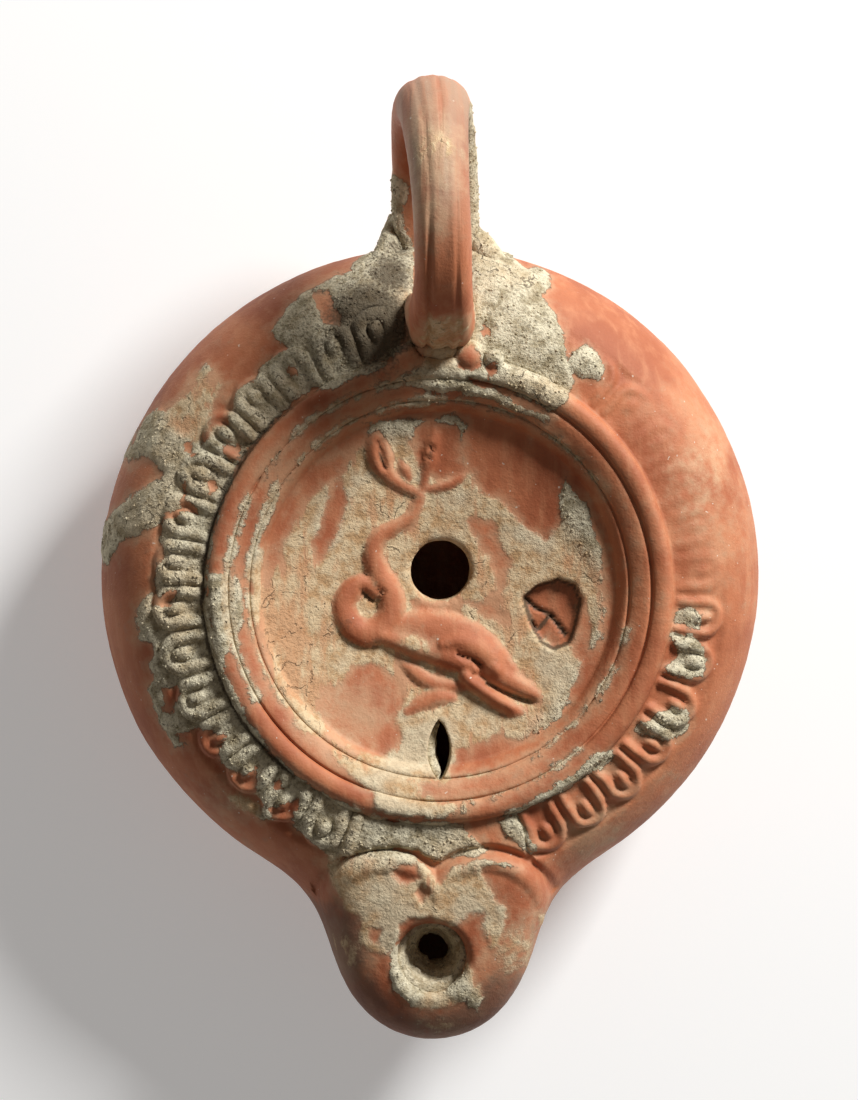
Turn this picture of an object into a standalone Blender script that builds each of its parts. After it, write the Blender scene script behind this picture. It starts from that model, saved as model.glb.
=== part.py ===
"""A mould-made Roman oil lamp of fired clay, as one hollow solid.

Metres, +Z up. The nozzle points to -Y and the ring handle stands at +Y. The origin is
the middle of the base, on the table, under the axis that the discus is turned on.
A turn is an angle about that axis, zero at the nozzle and growing towards +X.
"""
import math

import bmesh
import bpy
from mathutils import Vector

# Body
BODY_RADIUS = 0.0380
BODY_OFF_CENTRE_X = -0.0006
BODY_OFF_CENTRE_Y = 0.0009
BODY_WIDEST_HEIGHT = 0.0135
SHOULDER_HEIGHT = 0.0242
SHOULDER_ROUNDNESS = 2.1
BELLY_ROUNDNESS = 1.9
WALL = 0.0030

# Rings of the top, from the outline in: plain shoulder, stamped border, moulded rim, dished floor
PLAIN_SHOULDER_WIDTH = 0.0048
BORDER_WIDTH = 0.0064
RIM_WIDTH = 0.0066
RIM_RADIUS = BODY_RADIUS - PLAIN_SHOULDER_WIDTH - BORDER_WIDTH
FLOOR_RADIUS = RIM_RADIUS - RIM_WIDTH
RIM_TOP = SHOULDER_HEIGHT + 0.0014
FLOOR_EDGE_HEIGHT = RIM_TOP - 0.0034
FLOOR_DISH = 0.0025
# Each point of the rim's moulding: how far in from the rim's foot, and how far below its top
RIM_MOULDING = (
    (0.0003, 0.0007),
    (0.0011, 0.0000),
    (0.0019, 0.0002),
    (0.00265, 0.0011),
    (0.0033, 0.0007),
    (0.0041, 0.0010),
    (0.00515, 0.0024),
    (0.0059, 0.0022),
)

# Base, with one turned groove
BASE_RADIUS = 0.0190
BASE_GROOVE_FROM_EDGE = 0.0014
BASE_GROOVE_WIDTH = 0.0020
BASE_GROOVE_DEPTH = 0.0007

# Nozzle: a second circle in plan, in front of the body's
NOZZLE_RADIUS = 0.0109
NOZZLE_OFF_CENTRE_X = -0.0005
NOZZLE_BEYOND_BODY = 0.0045
NOZZLE_DISTANCE = BODY_RADIUS - BODY_OFF_CENTRE_Y + NOZZLE_BEYOND_BODY
NOZZLE_WIDEST_HEIGHT = BODY_WIDEST_HEIGHT + 0.0025
NOZZLE_TOP_ROUNDNESS = 3.4
NOZZLE_KEEL_ROUNDNESS = 1.6
NECK_BLEND = 0.0120
NOZZLE_TANGENT_TURN = math.asin(NOZZLE_RADIUS / NOZZLE_DISTANCE)
NOZZLE_HALF_TURN = NOZZLE_TANGENT_TURN - math.radians(3.5)
NECK_HALF_TURN = NOZZLE_TANGENT_TURN + math.radians(8.5)

# Heart-shaped groove that bounds the nozzle's top: two round lobes that meet in a cleft
LOBE_RADIUS = 0.0083
LOBE_OFFSET_X = 0.0057
LOBE_CENTRE_Y = 0.0030 - NOZZLE_DISTANCE
LOBE_END_TURN = math.radians(40)
LOBE_GROOVE_RADIUS = 0.0006

# Holes
FILLING_HOLE_RADIUS = 0.00355
FILLING_HOLE_X = 0.0003
FILLING_HOLE_Y = 0.0019
WICK_HOLE_RADIUS = 0.0041
WICK_HOLE_X = -0.0009
WICK_HOLE_Y = -0.0008 - NOZZLE_DISTANCE
WICK_HOLE_BEVEL = 0.0011
AIR_SLIT_LENGTH = 0.0070
AIR_SLIT_WIDTH = 0.0018
AIR_SLIT_PAST_FLOOR = 0.0018
AIR_SLIT_Y = AIR_SLIT_LENGTH / 2 - FLOOR_RADIUS - AIR_SLIT_PAST_FLOOR

# Sunken patch in the discus, where a flake has gone
FLAKE_WIDTH = 0.0066
FLAKE_LENGTH = 0.0080
FLAKE_DEPTH = 0.0010
FLAKE_FROM_EDGE = 0.0034
FLAKE_X = FLOOR_RADIUS - FLAKE_FROM_EDGE - FLAKE_WIDTH / 2
FLAKE_Y = -0.0028

# Ring handle. It springs from the shoulder beside the rim and ends in the wall at the back
HANDLE_WIDTH = 0.0064
HANDLE_FOOT_WIDTH = 0.0096
HANDLE_LEAN = -0.0010
HANDLE_THICKNESS = 0.0066
HANDLE_ROOT_FLARE = 0.0012
HANDLE_GROOVE_PLACE = 0.36
HANDLE_GROOVE_HALF_WIDTH = 0.12
HANDLE_GROOVE_DEPTH = 0.0006
HANDLE_ROOT_Y = RIM_RADIUS + 0.0042
HANDLE_BACK_Y = BODY_OFF_CENTRE_Y + BODY_RADIUS + 0.0160
HANDLE_LINE_TOP = SHOULDER_HEIGHT + 0.0143
HANDLE_LINE_FOOT = BODY_WIDEST_HEIGHT - 0.0005
HANDLE_STEPS_PER_POINT = 3
# Its line from root to foot, as shares of the way back from the root and of the way up from the foot
HANDLE_LINE = (
    (0.000, 0.275),
    (0.030, 0.608),
    (0.191, 0.886),
    (0.485, 1.000),
    (0.796, 0.910),
    (1.000, 0.659),
    (0.949, 0.353),
    (0.672, 0.125),
)

# Round knobs where the handle meets the rim, each (x, radius)
KNOBS = ((-0.0041, 0.0012), (0.0033, 0.0012), (0.0056, 0.0009))
KNOB_HEIGHT = 0.0008

# Border of egg stamps on the shoulder, left out behind the nozzle and beside the handle's root
EGG_COUNT = 36
EGG_FIRST_TURN = math.radians(3.8)
EGG_PITCH_TURN = 2 * math.pi / EGG_COUNT
EGG_PITCH = EGG_PITCH_TURN * (RIM_RADIUS + BORDER_WIDTH / 2)
EGG_LOOP_RADIUS = EGG_PITCH / 3
EGG_LINE_WIDTH = EGG_LOOP_RADIUS / 2
EGG_LOOP_END_MARGIN = 0.0010
EGG_LOOP_STRAIGHT = BORDER_WIDTH - EGG_LOOP_END_MARGIN - EGG_LOOP_RADIUS
EGG_LOOP_RELIEF = 0.00045
EGG_RELIEF = 0.00055
EGG_FIELD_DEPTH = 0.00025
NOZZLE_GAP_HALF_TURN = NOZZLE_TANGENT_TURN + math.radians(2.5)
HANDLE_GAP_WIDTH = HANDLE_WIDTH + 0.0050
HANDLE_GAP_HALF_TURN = math.asin(HANDLE_GAP_WIDTH / 2 / (RIM_RADIUS + BORDER_WIDTH / 2))

# Dolphin on the discus. Points and half-widths are shares of FLOOR_RADIUS, from the discus's middle
RELIEF_FLATNESS = 0.58
DOLPHIN_STROKES = {
    "tail": (
        (-0.097, 0.519, 0.034), (-0.148, 0.416, 0.040), (-0.239, 0.348, 0.046),
        (-0.330, 0.296, 0.051), (-0.370, 0.205, 0.057), (-0.342, 0.091, 0.063),
        (-0.279, -0.023, 0.074), (-0.262, -0.137, 0.080), (-0.319, -0.228, 0.082),
        (-0.416, -0.256, 0.080), (-0.501, -0.199, 0.074), (-0.536, -0.103, 0.068),
        (-0.496, -0.017, 0.057), (-0.416, 0.011, 0.046), (-0.353, -0.011, 0.034),
    ),
    "trunk": (
        (-0.330, -0.240, 0.070), (-0.154, -0.262, 0.132), (0.017, -0.291, 0.154),
        (0.160, -0.342, 0.154), (0.274, -0.410, 0.128), (0.370, -0.485, 0.085),
    ),
    "upper_beak": ((0.291, -0.456, 0.074), (0.416, -0.536, 0.054), (0.513, -0.587, 0.046), (0.564, -0.615, 0.026)),
    "lower_beak": ((0.170, -0.500, 0.063), (0.302, -0.621, 0.051), (0.405, -0.684, 0.046), (0.467, -0.707, 0.026)),
    "upper_fin": ((0.063, -0.540, 0.040), (-0.040, -0.530, 0.051), (-0.114, -0.484, 0.040), (-0.160, -0.450, 0.018)),
    "lower_fin": ((0.130, -0.620, 0.040), (0.017, -0.672, 0.054), (-0.074, -0.707, 0.046), (-0.137, -0.724, 0.022)),
    "left_fluke": (
        (-0.108, 0.530, 0.040), (-0.211, 0.570, 0.051), (-0.302, 0.627, 0.063),
        (-0.336, 0.729, 0.068), (-0.325, 0.825, 0.057), (-0.330, 0.895, 0.026),
    ),
    "middle_fluke": (
        (-0.085, 0.530, 0.040), (-0.034, 0.661, 0.051), (0.000, 0.775, 0.051),
        (0.023, 0.870, 0.040), (0.030, 0.920, 0.020),
    ),
    "right_fluke": ((-0.070, 0.530, 0.036), (0.063, 0.553, 0.040), (0.177, 0.587, 0.040), (0.268, 0.638, 0.022)),
}

# Fineness of the facets
STAMP_SAMPLES = 6
COARSE_EVERY = 4
CAVITY_EVERY = 6
CLAY_COLOUR = (0.60, 0.27, 0.17, 1.0)


def smooth_step(low, high, value):
    share = min(max((value - low) / (high - low), 0.0), 1.0)
    return share * share * (3 - 2 * share)


def blend(a, b, share):
    return a + (b - a) * share


def rounded(share, roundness):
    """Height, from 1 to 0, of a superellipse quadrant at a share of its width."""
    return (1 - min(share, 1.0) ** roundness) ** (1 / roundness)


def polar(radius, turn, height):
    return Vector((radius * math.sin(turn), -radius * math.cos(turn), height))


def wrapped(turn):
    return (turn + math.pi) % (2 * math.pi) - math.pi


# Plan outline: the round body and the round nozzle, run together by a soft neck
def outline_distance(point):
    body = math.hypot(point.x - BODY_OFF_CENTRE_X, point.y - BODY_OFF_CENTRE_Y) - BODY_RADIUS
    nozzle = math.hypot(point.x - NOZZLE_OFF_CENTRE_X, point.y + NOZZLE_DISTANCE) - NOZZLE_RADIUS
    overlap = max(NECK_BLEND - abs(body - nozzle), 0.0) / NECK_BLEND
    return min(body, nozzle) - overlap * overlap * NECK_BLEND / 4


def outline_radius(turn, inset=0.0):
    """Distance from the axis to the outline, or to a line that runs inset metres inside it."""
    near, far = 0.0, NOZZLE_DISTANCE + NOZZLE_RADIUS + BODY_RADIUS
    while far - near > 1e-7:
        middle = (near + far) / 2
        if outline_distance(polar(middle, turn, 0)) < -inset:
            near = middle
        else:
            far = middle
    return near


def nozzle_share(turn):
    """1 where the section is the nozzle's, 0 where it is the round body's."""
    return 1 - smooth_step(NOZZLE_HALF_TURN, NECK_HALF_TURN, abs(wrapped(turn)))


def widest_height(turn):
    return blend(BODY_WIDEST_HEIGHT, NOZZLE_WIDEST_HEIGHT, nozzle_share(turn))


def shoulder_point(turn, share, inset=0.0):
    """A point of the upper surface, at a share of the way from the rim's foot to the outline."""
    roundness = blend(SHOULDER_ROUNDNESS, NOZZLE_TOP_ROUNDNESS, nozzle_share(turn))
    radius = blend(RIM_RADIUS, outline_radius(turn, inset), share)
    low = widest_height(turn)
    return polar(radius, turn, low + (SHOULDER_HEIGHT - inset - low) * rounded(share, roundness))


def belly_point(turn, share, inset=0.0):
    """A point of the lower surface, at a share of the way down from the outline to the base's edge."""
    roundness = blend(BELLY_ROUNDNESS, NOZZLE_KEEL_ROUNDNESS, nozzle_share(turn))
    fall = rounded(share, roundness)
    radius = blend(BASE_RADIUS, outline_radius(turn, inset), fall)
    return polar(radius, turn, blend(widest_height(turn), inset, share))


def floor_height(x, y):
    """The discus's dished floor."""
    share = min(math.hypot(x, y) / FLOOR_RADIUS, 1.0)
    return FLOOR_EDGE_HEIGHT - FLOOR_DISH * (1 - share * share)


# Egg stamps: a raised loop, open towards the discus, round a raised egg in a sunk field
def border_relief(turn, reach):
    """Height of the stamps, at a distance out from the rim's foot."""
    across = (((turn - EGG_FIRST_TURN) / EGG_PITCH_TURN + 0.5) % 1 - 0.5) * EGG_PITCH
    from_middle = math.hypot(across, max(reach - EGG_LOOP_STRAIGHT, 0.0))
    from_loop = abs(from_middle - EGG_LOOP_RADIUS) / EGG_LINE_WIDTH
    from_egg = from_middle / EGG_LINE_WIDTH
    loop = EGG_LOOP_RELIEF * max(1 - from_loop * from_loop, 0.0)
    egg = EGG_RELIEF * max(1 - from_egg * from_egg, 0.0)
    edge = smooth_step(0, EGG_LINE_WIDTH, BORDER_WIDTH - reach) * smooth_step(0, EGG_LINE_WIDTH, reach)
    clear_of_nozzle = abs(wrapped(turn)) > NOZZLE_GAP_HALF_TURN
    clear_of_handle = abs(wrapped(turn - math.pi)) > HANDLE_GAP_HALF_TURN
    return (loop + egg - EGG_FIELD_DEPTH) * edge if clear_of_nozzle and clear_of_handle else 0.0


def border_share(turn, reach):
    """The share of the shoulder at a reach. Across the nozzle the border's rings spread over its top."""
    round_share = reach / (outline_radius(turn) - RIM_RADIUS)
    spread_share = reach / (BODY_RADIUS - RIM_RADIUS)
    return blend(round_share, spread_share, nozzle_share(turn))


def border_point(turn, reach):
    return shoulder_point(turn, border_share(turn, reach)) + Vector((0, 0, border_relief(turn, reach)))


def plain_shoulder_point(turn, share):
    """A point at a share of the way from the border's edge out to the outline."""
    return shoulder_point(turn, blend(border_share(turn, BORDER_WIDTH), 1.0, share))


# Rings of points, and the faces between them
def fine_turns():
    count = EGG_COUNT * STAMP_SAMPLES
    return [EGG_FIRST_TURN + 2 * math.pi * i / count for i in range(count)]


def kept_turns(every, every_at_nozzle):
    """Which of the fine turns a coarser ring keeps."""
    kept = []
    for i, turn in enumerate(fine_turns()):
        step = every_at_nozzle if abs(wrapped(turn)) < NECK_HALF_TURN else every
        if i % step == 0:
            kept.append(i)
    return kept


def add_ring(bm, indices, place):
    """One closed ring, as {index of the fine turn: vertex}."""
    turns = fine_turns()
    return {i: bm.verts.new(place(turns[i])) for i in indices}


def join_rings(bm, outer, inner):
    """Faces between two rings whose points sit on the same fine turns, though one may skip some."""
    shared = sorted(set(outer) & set(inner))
    count = len(fine_turns())
    for here, after in zip(shared, shared[1:] + [shared[0] + count]):
        upper = [outer[i % count] for i in range(here, after + 1) if i % count in outer]
        lower = [inner[i % count] for i in range(here, after + 1) if i % count in inner]
        if len(upper) == 2 and len(lower) == 2:
            bm.faces.new((upper[0], upper[1], lower[1], lower[0]))
        elif len(upper) == 2:
            bm.faces.new((upper[0], upper[1], *reversed(lower)))
        else:
            bm.faces.new((*upper, lower[1], lower[0]))


def lathe(bm, rings):
    for outer, inner in zip(rings, rings[1:]):
        join_rings(bm, outer, inner)
    for ring in (rings[0], rings[-1]):
        bm.faces.new([ring[i] for i in sorted(ring)])


def finish_mesh(bm, name):
    """Triangles with their normals out, as an object."""
    bmesh.ops.triangulate(bm, faces=bm.faces[:], ngon_method="EAR_CLIP")
    bmesh.ops.recalc_face_normals(bm, faces=bm.faces[:])
    mesh = bpy.data.meshes.new(name)
    bm.to_mesh(mesh)
    bm.free()
    return bpy.data.objects.new(name, mesh)


def quadrant(steps):
    """Shares from 0 to 1 that bunch up towards 1, as even steps round a quarter circle do."""
    return [math.sin(math.pi / 2 * i / steps) for i in range(steps + 1)]


def make_body():
    """The outer surface: discus, rim, stamped shoulder, nozzle, belly and base."""
    bm = bmesh.new()
    fine = kept_turns(1, 1)
    mixed = kept_turns(COARSE_EVERY, 1)
    coarse = kept_turns(COARSE_EVERY, COARSE_EVERY)
    rings = []
    for share in (0.25, 0.5, 0.78, 0.95):
        radius = share * FLOOR_RADIUS
        rings.append(add_ring(bm, coarse, lambda turn: polar(radius, turn, floor_height(radius, 0))))
    for inset, drop in reversed(RIM_MOULDING):
        rings.append(add_ring(bm, coarse, lambda turn: polar(RIM_RADIUS - inset, turn, RIM_TOP - drop)))
    loop_end = EGG_LOOP_STRAIGHT + EGG_LOOP_RADIUS
    middle_of_bend = EGG_LOOP_STRAIGHT + EGG_LOOP_RADIUS / 2
    for reach in (0.0, EGG_LOOP_STRAIGHT / 2, EGG_LOOP_STRAIGHT, middle_of_bend, loop_end, BORDER_WIDTH):
        rings.append(add_ring(bm, fine, lambda turn: border_point(turn, reach)))
    for along in quadrant(4)[1:]:
        rings.append(add_ring(bm, mixed, lambda turn: plain_shoulder_point(turn, along)))
    for along in quadrant(6)[1:]:
        rings.append(add_ring(bm, mixed, lambda turn: belly_point(turn, along)))
    groove_edge = BASE_RADIUS - BASE_GROOVE_FROM_EDGE
    groove = ((0.0, 0.0), (0.25, BASE_GROOVE_DEPTH), (0.75, BASE_GROOVE_DEPTH), (1.0, 0.0))
    for share, height in groove:
        radius = groove_edge - share * BASE_GROOVE_WIDTH
        rings.append(add_ring(bm, coarse, lambda turn: polar(radius, turn, height)))
    lathe(bm, rings)
    return finish_mesh(bm, "lamp")


def make_cavity():
    """The oil chamber and the channel that runs from it into the nozzle."""
    bm = bmesh.new()
    turns = kept_turns(CAVITY_EVERY, CAVITY_EVERY // 3)
    rings = []
    for share in (0.3, 0.7, 1.0):
        radius = share * FLOOR_RADIUS
        rings.append(add_ring(bm, turns, lambda turn: polar(radius, turn, floor_height(radius, 0) - WALL)))
    for along in quadrant(4):
        rings.append(add_ring(bm, turns, lambda turn: shoulder_point(turn, along, WALL)))
    for along in quadrant(4)[1:]:
        rings.append(add_ring(bm, turns, lambda turn: belly_point(turn, along, WALL)))
    lathe(bm, rings)
    return finish_mesh(bm, "cavity")


def curve_mesh(curve_object):
    """The curve as a mesh with its caps welded, and the curve removed."""
    bpy.context.scene.collection.objects.link(curve_object)
    graph = bpy.context.evaluated_depsgraph_get()
    mesh = bpy.data.meshes.new_from_object(curve_object.evaluated_get(graph))
    name = curve_object.name
    bpy.data.objects.remove(curve_object)
    bm = bmesh.new()
    bm.from_mesh(mesh)
    bmesh.ops.remove_doubles(bm, verts=bm.verts[:], dist=1e-6)
    bm.to_mesh(mesh)
    bm.free()
    made = bpy.data.objects.new(name, mesh)
    return made


def tapered_tube(name, points, resolution, sides_resolution=1):
    """A tube through flat points (x, y, half-width), lying on z = 0."""
    curve = bpy.data.curves.new(name, "CURVE")
    curve.dimensions = "3D"
    curve.bevel_depth = 1.0
    curve.bevel_resolution = sides_resolution
    curve.resolution_u = resolution
    curve.use_fill_caps = True
    spline = curve.splines.new("BEZIER")
    spline.bezier_points.add(len(points) - 1)
    for knot, (x, y, half_width) in zip(spline.bezier_points, points):
        knot.co = (x, y, 0)
        knot.radius = half_width
        knot.handle_left_type = knot.handle_right_type = "AUTO"
    return curve_mesh(bpy.data.objects.new(name, curve))


def make_stroke(name, shares):
    """One raised stroke of the dolphin, flattened and laid on the dished floor."""
    points = [(x * FLOOR_RADIUS, y * FLOOR_RADIUS, w * FLOOR_RADIUS) for x, y, w in shares]
    stroke = tapered_tube(name, points, 2)
    for vertex in stroke.data.vertices:
        x, y, z = vertex.co
        vertex.co.z = floor_height(x, y) + z * RELIEF_FLATNESS
    return stroke


def make_lobe_groove(side):
    """The cutter for one lobe of the nozzle's heart: an arc from the cleft out to the neck."""
    cleft = math.acos(LOBE_OFFSET_X / LOBE_RADIUS)
    steps = 6
    points = []
    for i in range(steps + 1):
        angle = blend(math.pi - cleft, LOBE_END_TURN, i / steps)
        x = side * (LOBE_OFFSET_X + LOBE_RADIUS * math.cos(angle))
        points.append((x, LOBE_CENTRE_Y + LOBE_RADIUS * math.sin(angle), LOBE_GROOVE_RADIUS))
    groove = tapered_tube("lobe_groove_right" if side > 0 else "lobe_groove_left", points, 2)
    for vertex in groove.data.vertices:
        x, y, z = vertex.co
        turn = math.atan2(x, -y)
        share = (math.hypot(x, y) - RIM_RADIUS) / (outline_radius(turn) - RIM_RADIUS)
        vertex.co.z += shoulder_point(turn, max(share, 0.0)).z
    return groove


def make_hole(name, place, radius, low, high, sides, widening=0.0):
    """An upright round cutter, wider at its top where the hole's edge is bevelled."""
    bm = bmesh.new()
    bmesh.ops.create_cone(
        bm, cap_ends=True, segments=sides, radius1=radius, radius2=radius + widening, depth=high - low
    )
    bmesh.ops.translate(bm, verts=bm.verts[:], vec=(place[0], place[1], (low + high) / 2))
    return finish_mesh(bm, name)


def make_air_slit():
    """An eye-shaped cutter through the discus's floor."""
    slit = make_hole("air_slit", (0, 0), 0.5, -0.5, 0.5, 14)
    for vertex in slit.data.vertices:
        pinch = 1 - 0.45 * abs(vertex.co.y * 2) ** 2
        vertex.co.x *= AIR_SLIT_WIDTH * pinch
        vertex.co.y = vertex.co.y * AIR_SLIT_LENGTH + AIR_SLIT_Y
        vertex.co.z = blend(FLOOR_EDGE_HEIGHT - 3 * WALL, FLOOR_EDGE_HEIGHT + WALL, vertex.co.z + 0.5)
    return slit


def make_flake():
    """The cutter of the sunken patch: a rounded triangle, wide end to the back, as deep all over."""
    flake = make_hole("flake", (0, 0), 0.5, -0.5, 0.5, 18)
    for vertex in flake.data.vertices:
        x = vertex.co.x * (1 + 0.55 * vertex.co.y) * FLAKE_WIDTH + FLAKE_X
        y = vertex.co.y * FLAKE_LENGTH + FLAKE_Y
        lift = FLAKE_DEPTH * 2 if vertex.co.z > 0 else -FLAKE_DEPTH
        vertex.co = (x, y, floor_height(x, y) + lift)
    return flake


def strap_section(width, thickness, roundness):
    """The handle's section: three ribs on its outer face and a plain, flatter inner face."""
    half, deep = width / 2, thickness / 2
    edge, middle = HANDLE_GROOVE_PLACE + HANDLE_GROOVE_HALF_WIDTH, HANDLE_GROOVE_PLACE - HANDLE_GROOVE_HALF_WIDTH
    right = [(middle, 0), (HANDLE_GROOVE_PLACE, HANDLE_GROOVE_DEPTH), (edge, 0), (0.75, 0), (0.95, 0)]
    outer = [(-x, cut) for x, cut in reversed(right)] + right
    points = [(x * half, rounded(abs(x), roundness) * deep - cut) for x, cut in outer]
    points += [(half, -0.1 * deep), (0.75 * half, -0.85 * deep), (-0.75 * half, -0.85 * deep), (-half, -0.1 * deep)]
    return points


def handle_points():
    """The handle's line as (y, z), with its last point as deep in the body as the wall is thick."""
    points = []
    for out, up in HANDLE_LINE:
        y = blend(HANDLE_ROOT_Y, HANDLE_BACK_Y, out)
        points.append(Vector((y, blend(HANDLE_LINE_FOOT, HANDLE_LINE_TOP, up))))
    return points + [Vector((BODY_OFF_CENTRE_Y + BODY_RADIUS - WALL, HANDLE_LINE_FOOT))]


def handle_line(points, position):
    """Place and direction at a position along a smooth line through the points."""
    last = len(points) - 1
    start = min(int(position), last - 1)
    t = position - start
    a, b, c, d = (points[min(max(start + k, 0), last)] for k in (-1, 0, 1, 2))
    place = 0.5 * (2 * b + (c - a) * t + (2 * a - 5 * b + 4 * c - d) * t ** 2 + (3 * b - a - 3 * c + d) * t ** 3)
    along = 0.5 * ((c - a) + 2 * (2 * a - 5 * b + 4 * c - d) * t + 3 * (3 * b - a - 3 * c + d) * t ** 2)
    return place, along.normalized()


def make_handle():
    """The ring handle: one strap swept along its line, wider towards its foot and thicker at its root."""
    bm = bmesh.new()
    points = handle_points()
    steps = (len(points) - 1) * HANDLE_STEPS_PER_POINT
    loops = []
    for i in range(steps + 1):
        share = i / steps
        place, along = handle_line(points, i / HANDLE_STEPS_PER_POINT)
        outward = Vector((-along.y, along.x))
        lean = HANDLE_LEAN * math.sin(math.pi * share ** 1.5) ** 2
        width = blend(HANDLE_WIDTH, HANDLE_FOOT_WIDTH, smooth_step(0.38, 0.85, share))
        width += HANDLE_ROOT_FLARE * (1 - smooth_step(0.0, 0.3, share))
        thickness = HANDLE_THICKNESS + HANDLE_ROOT_FLARE * (1 - smooth_step(0.0, 0.3, share))
        roundness = blend(3.5, 2.0, smooth_step(0.25, 0.6, share))
        loop = []
        for across, out in strap_section(width, thickness, roundness):
            centre = place + outward * out
            loop.append(bm.verts.new((lean + across, centre.x, centre.y)))
        loops.append(loop)
    for here, after in zip(loops, loops[1:]):
        for k in range(len(here)):
            n = (k + 1) % len(here)
            bm.faces.new((here[k], here[n], after[n], after[k]))
    bm.faces.new(loops[0])
    bm.faces.new(loops[-1])
    return finish_mesh(bm, "handle")


def make_knob(name, x, radius):
    """A low round knob that stands half out of the rim's foot."""
    y = math.sqrt(RIM_RADIUS ** 2 - x ** 2)
    bm = bmesh.new()
    bmesh.ops.create_icosphere(bm, subdivisions=2, radius=1)
    for vertex in bm.verts:
        vertex.co = Vector((x, y, SHOULDER_HEIGHT)) + vertex.co * radius
        vertex.co.z = SHOULDER_HEIGHT + (vertex.co.z - SHOULDER_HEIGHT) * KNOB_HEIGHT / radius + KNOB_HEIGHT / 2
    return finish_mesh(bm, name)


def new_collection(name, hidden=False):
    collection = bpy.data.collections.new(name)
    bpy.context.scene.collection.children.link(collection)
    collection.hide_render = hidden
    return collection


def put_in(collection, objects):
    """Helpers stay out of the render and show as wires."""
    for obj in objects:
        collection.objects.link(obj)
        obj.hide_render = True
        obj.display_type = "WIRE"


def add_boolean(obj, name, operation, collection):
    modifier = obj.modifiers.new(name, "BOOLEAN")
    modifier.operation = operation
    modifier.solver = "EXACT"
    modifier.operand_type = "COLLECTION"
    modifier.collection = collection


def clay_material():
    material = bpy.data.materials.new("fired_clay")
    material.use_nodes = True
    shader = material.node_tree.nodes["Principled BSDF"]
    shader.inputs["Base Color"].default_value = CLAY_COLOUR
    shader.inputs["Roughness"].default_value = 0.75
    shader.inputs["Metallic"].default_value = 0.0
    return material


def main():
    for obj in list(bpy.data.objects):
        bpy.data.objects.remove(obj)
    lamp_collection = new_collection("roman_oil_lamp")
    added = new_collection("joined_to_the_body", hidden=True)
    hollow = new_collection("hollow", hidden=True)
    cuts = new_collection("cuts", hidden=True)

    lamp = make_body()
    lamp_collection.objects.link(lamp)
    lamp.data.materials.append(clay_material())
    dolphin = [make_stroke(name, shares) for name, shares in DOLPHIN_STROKES.items()]
    knobs = [make_knob(f"knob_{i + 1}", *knob) for i, knob in enumerate(KNOBS)]
    put_in(added, [make_handle()] + dolphin + knobs)
    put_in(hollow, [make_cavity()])
    through_floor = (FLOOR_EDGE_HEIGHT - FLOOR_DISH - 2 * WALL, RIM_TOP)
    through_nozzle = (NOZZLE_WIDEST_HEIGHT, SHOULDER_HEIGHT + WALL / 3)
    filling_hole = make_hole(
        "filling_hole", (FILLING_HOLE_X, FILLING_HOLE_Y), FILLING_HOLE_RADIUS, *through_floor, 32
    )
    wick_hole = make_hole(
        "wick_hole", (WICK_HOLE_X, WICK_HOLE_Y), WICK_HOLE_RADIUS, *through_nozzle, 32, WICK_HOLE_BEVEL
    )
    grooves = [make_lobe_groove(-1), make_lobe_groove(1)]
    put_in(cuts, [filling_hole, wick_hole, make_air_slit(), make_flake()] + grooves)

    add_boolean(lamp, "handle and dolphin", "UNION", added)
    add_boolean(lamp, "oil chamber", "DIFFERENCE", hollow)
    add_boolean(lamp, "holes, flake and grooves", "DIFFERENCE", cuts)


main()
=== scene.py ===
# %% [markdown]
# # A Roman oil lamp with a dolphin
#
# A potter pressed this lamp in a two-part mould: a lid with the dished discus, its border and the
# top of the nozzle, and a bowl underneath. The ring handle was added while the clay was wet, and
# the whole was fired as one piece. Afterwards it lay in the ground for a long time, so a pale crust
# of lime and soil sits in its hollows.
#
# The plain solid that comes from the frame has the true outline, walls and holes. This notebook
# makes a finer skin in the same place, with softer edges, worn carving, crust and soot.

import math

import bmesh
import bpy
import numpy as np
from mathutils import Matrix, Vector


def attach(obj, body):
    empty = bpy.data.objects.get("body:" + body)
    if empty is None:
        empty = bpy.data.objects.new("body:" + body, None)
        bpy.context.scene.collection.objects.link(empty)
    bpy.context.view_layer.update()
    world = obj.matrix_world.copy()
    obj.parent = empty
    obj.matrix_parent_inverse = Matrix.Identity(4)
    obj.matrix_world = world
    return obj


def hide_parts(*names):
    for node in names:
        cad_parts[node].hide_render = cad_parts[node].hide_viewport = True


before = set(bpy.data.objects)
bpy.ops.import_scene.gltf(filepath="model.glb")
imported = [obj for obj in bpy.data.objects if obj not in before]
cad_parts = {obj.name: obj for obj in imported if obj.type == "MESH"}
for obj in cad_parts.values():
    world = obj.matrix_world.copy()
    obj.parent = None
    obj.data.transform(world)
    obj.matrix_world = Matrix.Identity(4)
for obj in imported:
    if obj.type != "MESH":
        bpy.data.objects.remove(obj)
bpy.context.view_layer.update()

# %% [markdown]
# ## The camera
#
# The photograph looks almost straight down: the rings of the discus stay round, but the high parts
# lean a little to the right and to the front of the low ones. A camera far away with a long lens,
# tipped a few degrees to the left and to the back, gives that. Its place is worked out from the two
# tilts and a distance, so each can be changed without guessing the others.

# %% Place the camera
PHOTO_WIDTH_PX = 858
FOCAL_LENGTH_PX = 5669
SENSOR_WIDTH_MM = 36
CAMERA_DISTANCE = 0.650
CAMERA_TILT_LEFT = math.radians(2.5)
CAMERA_TILT_BACK = math.radians(3.5)
CAMERA_AIM = Vector((-0.00106, 0.0043, 0.0200))


def add_object(name, data):
    obj = bpy.data.objects.new(name, data)
    bpy.context.scene.collection.objects.link(obj)
    return obj


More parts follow.
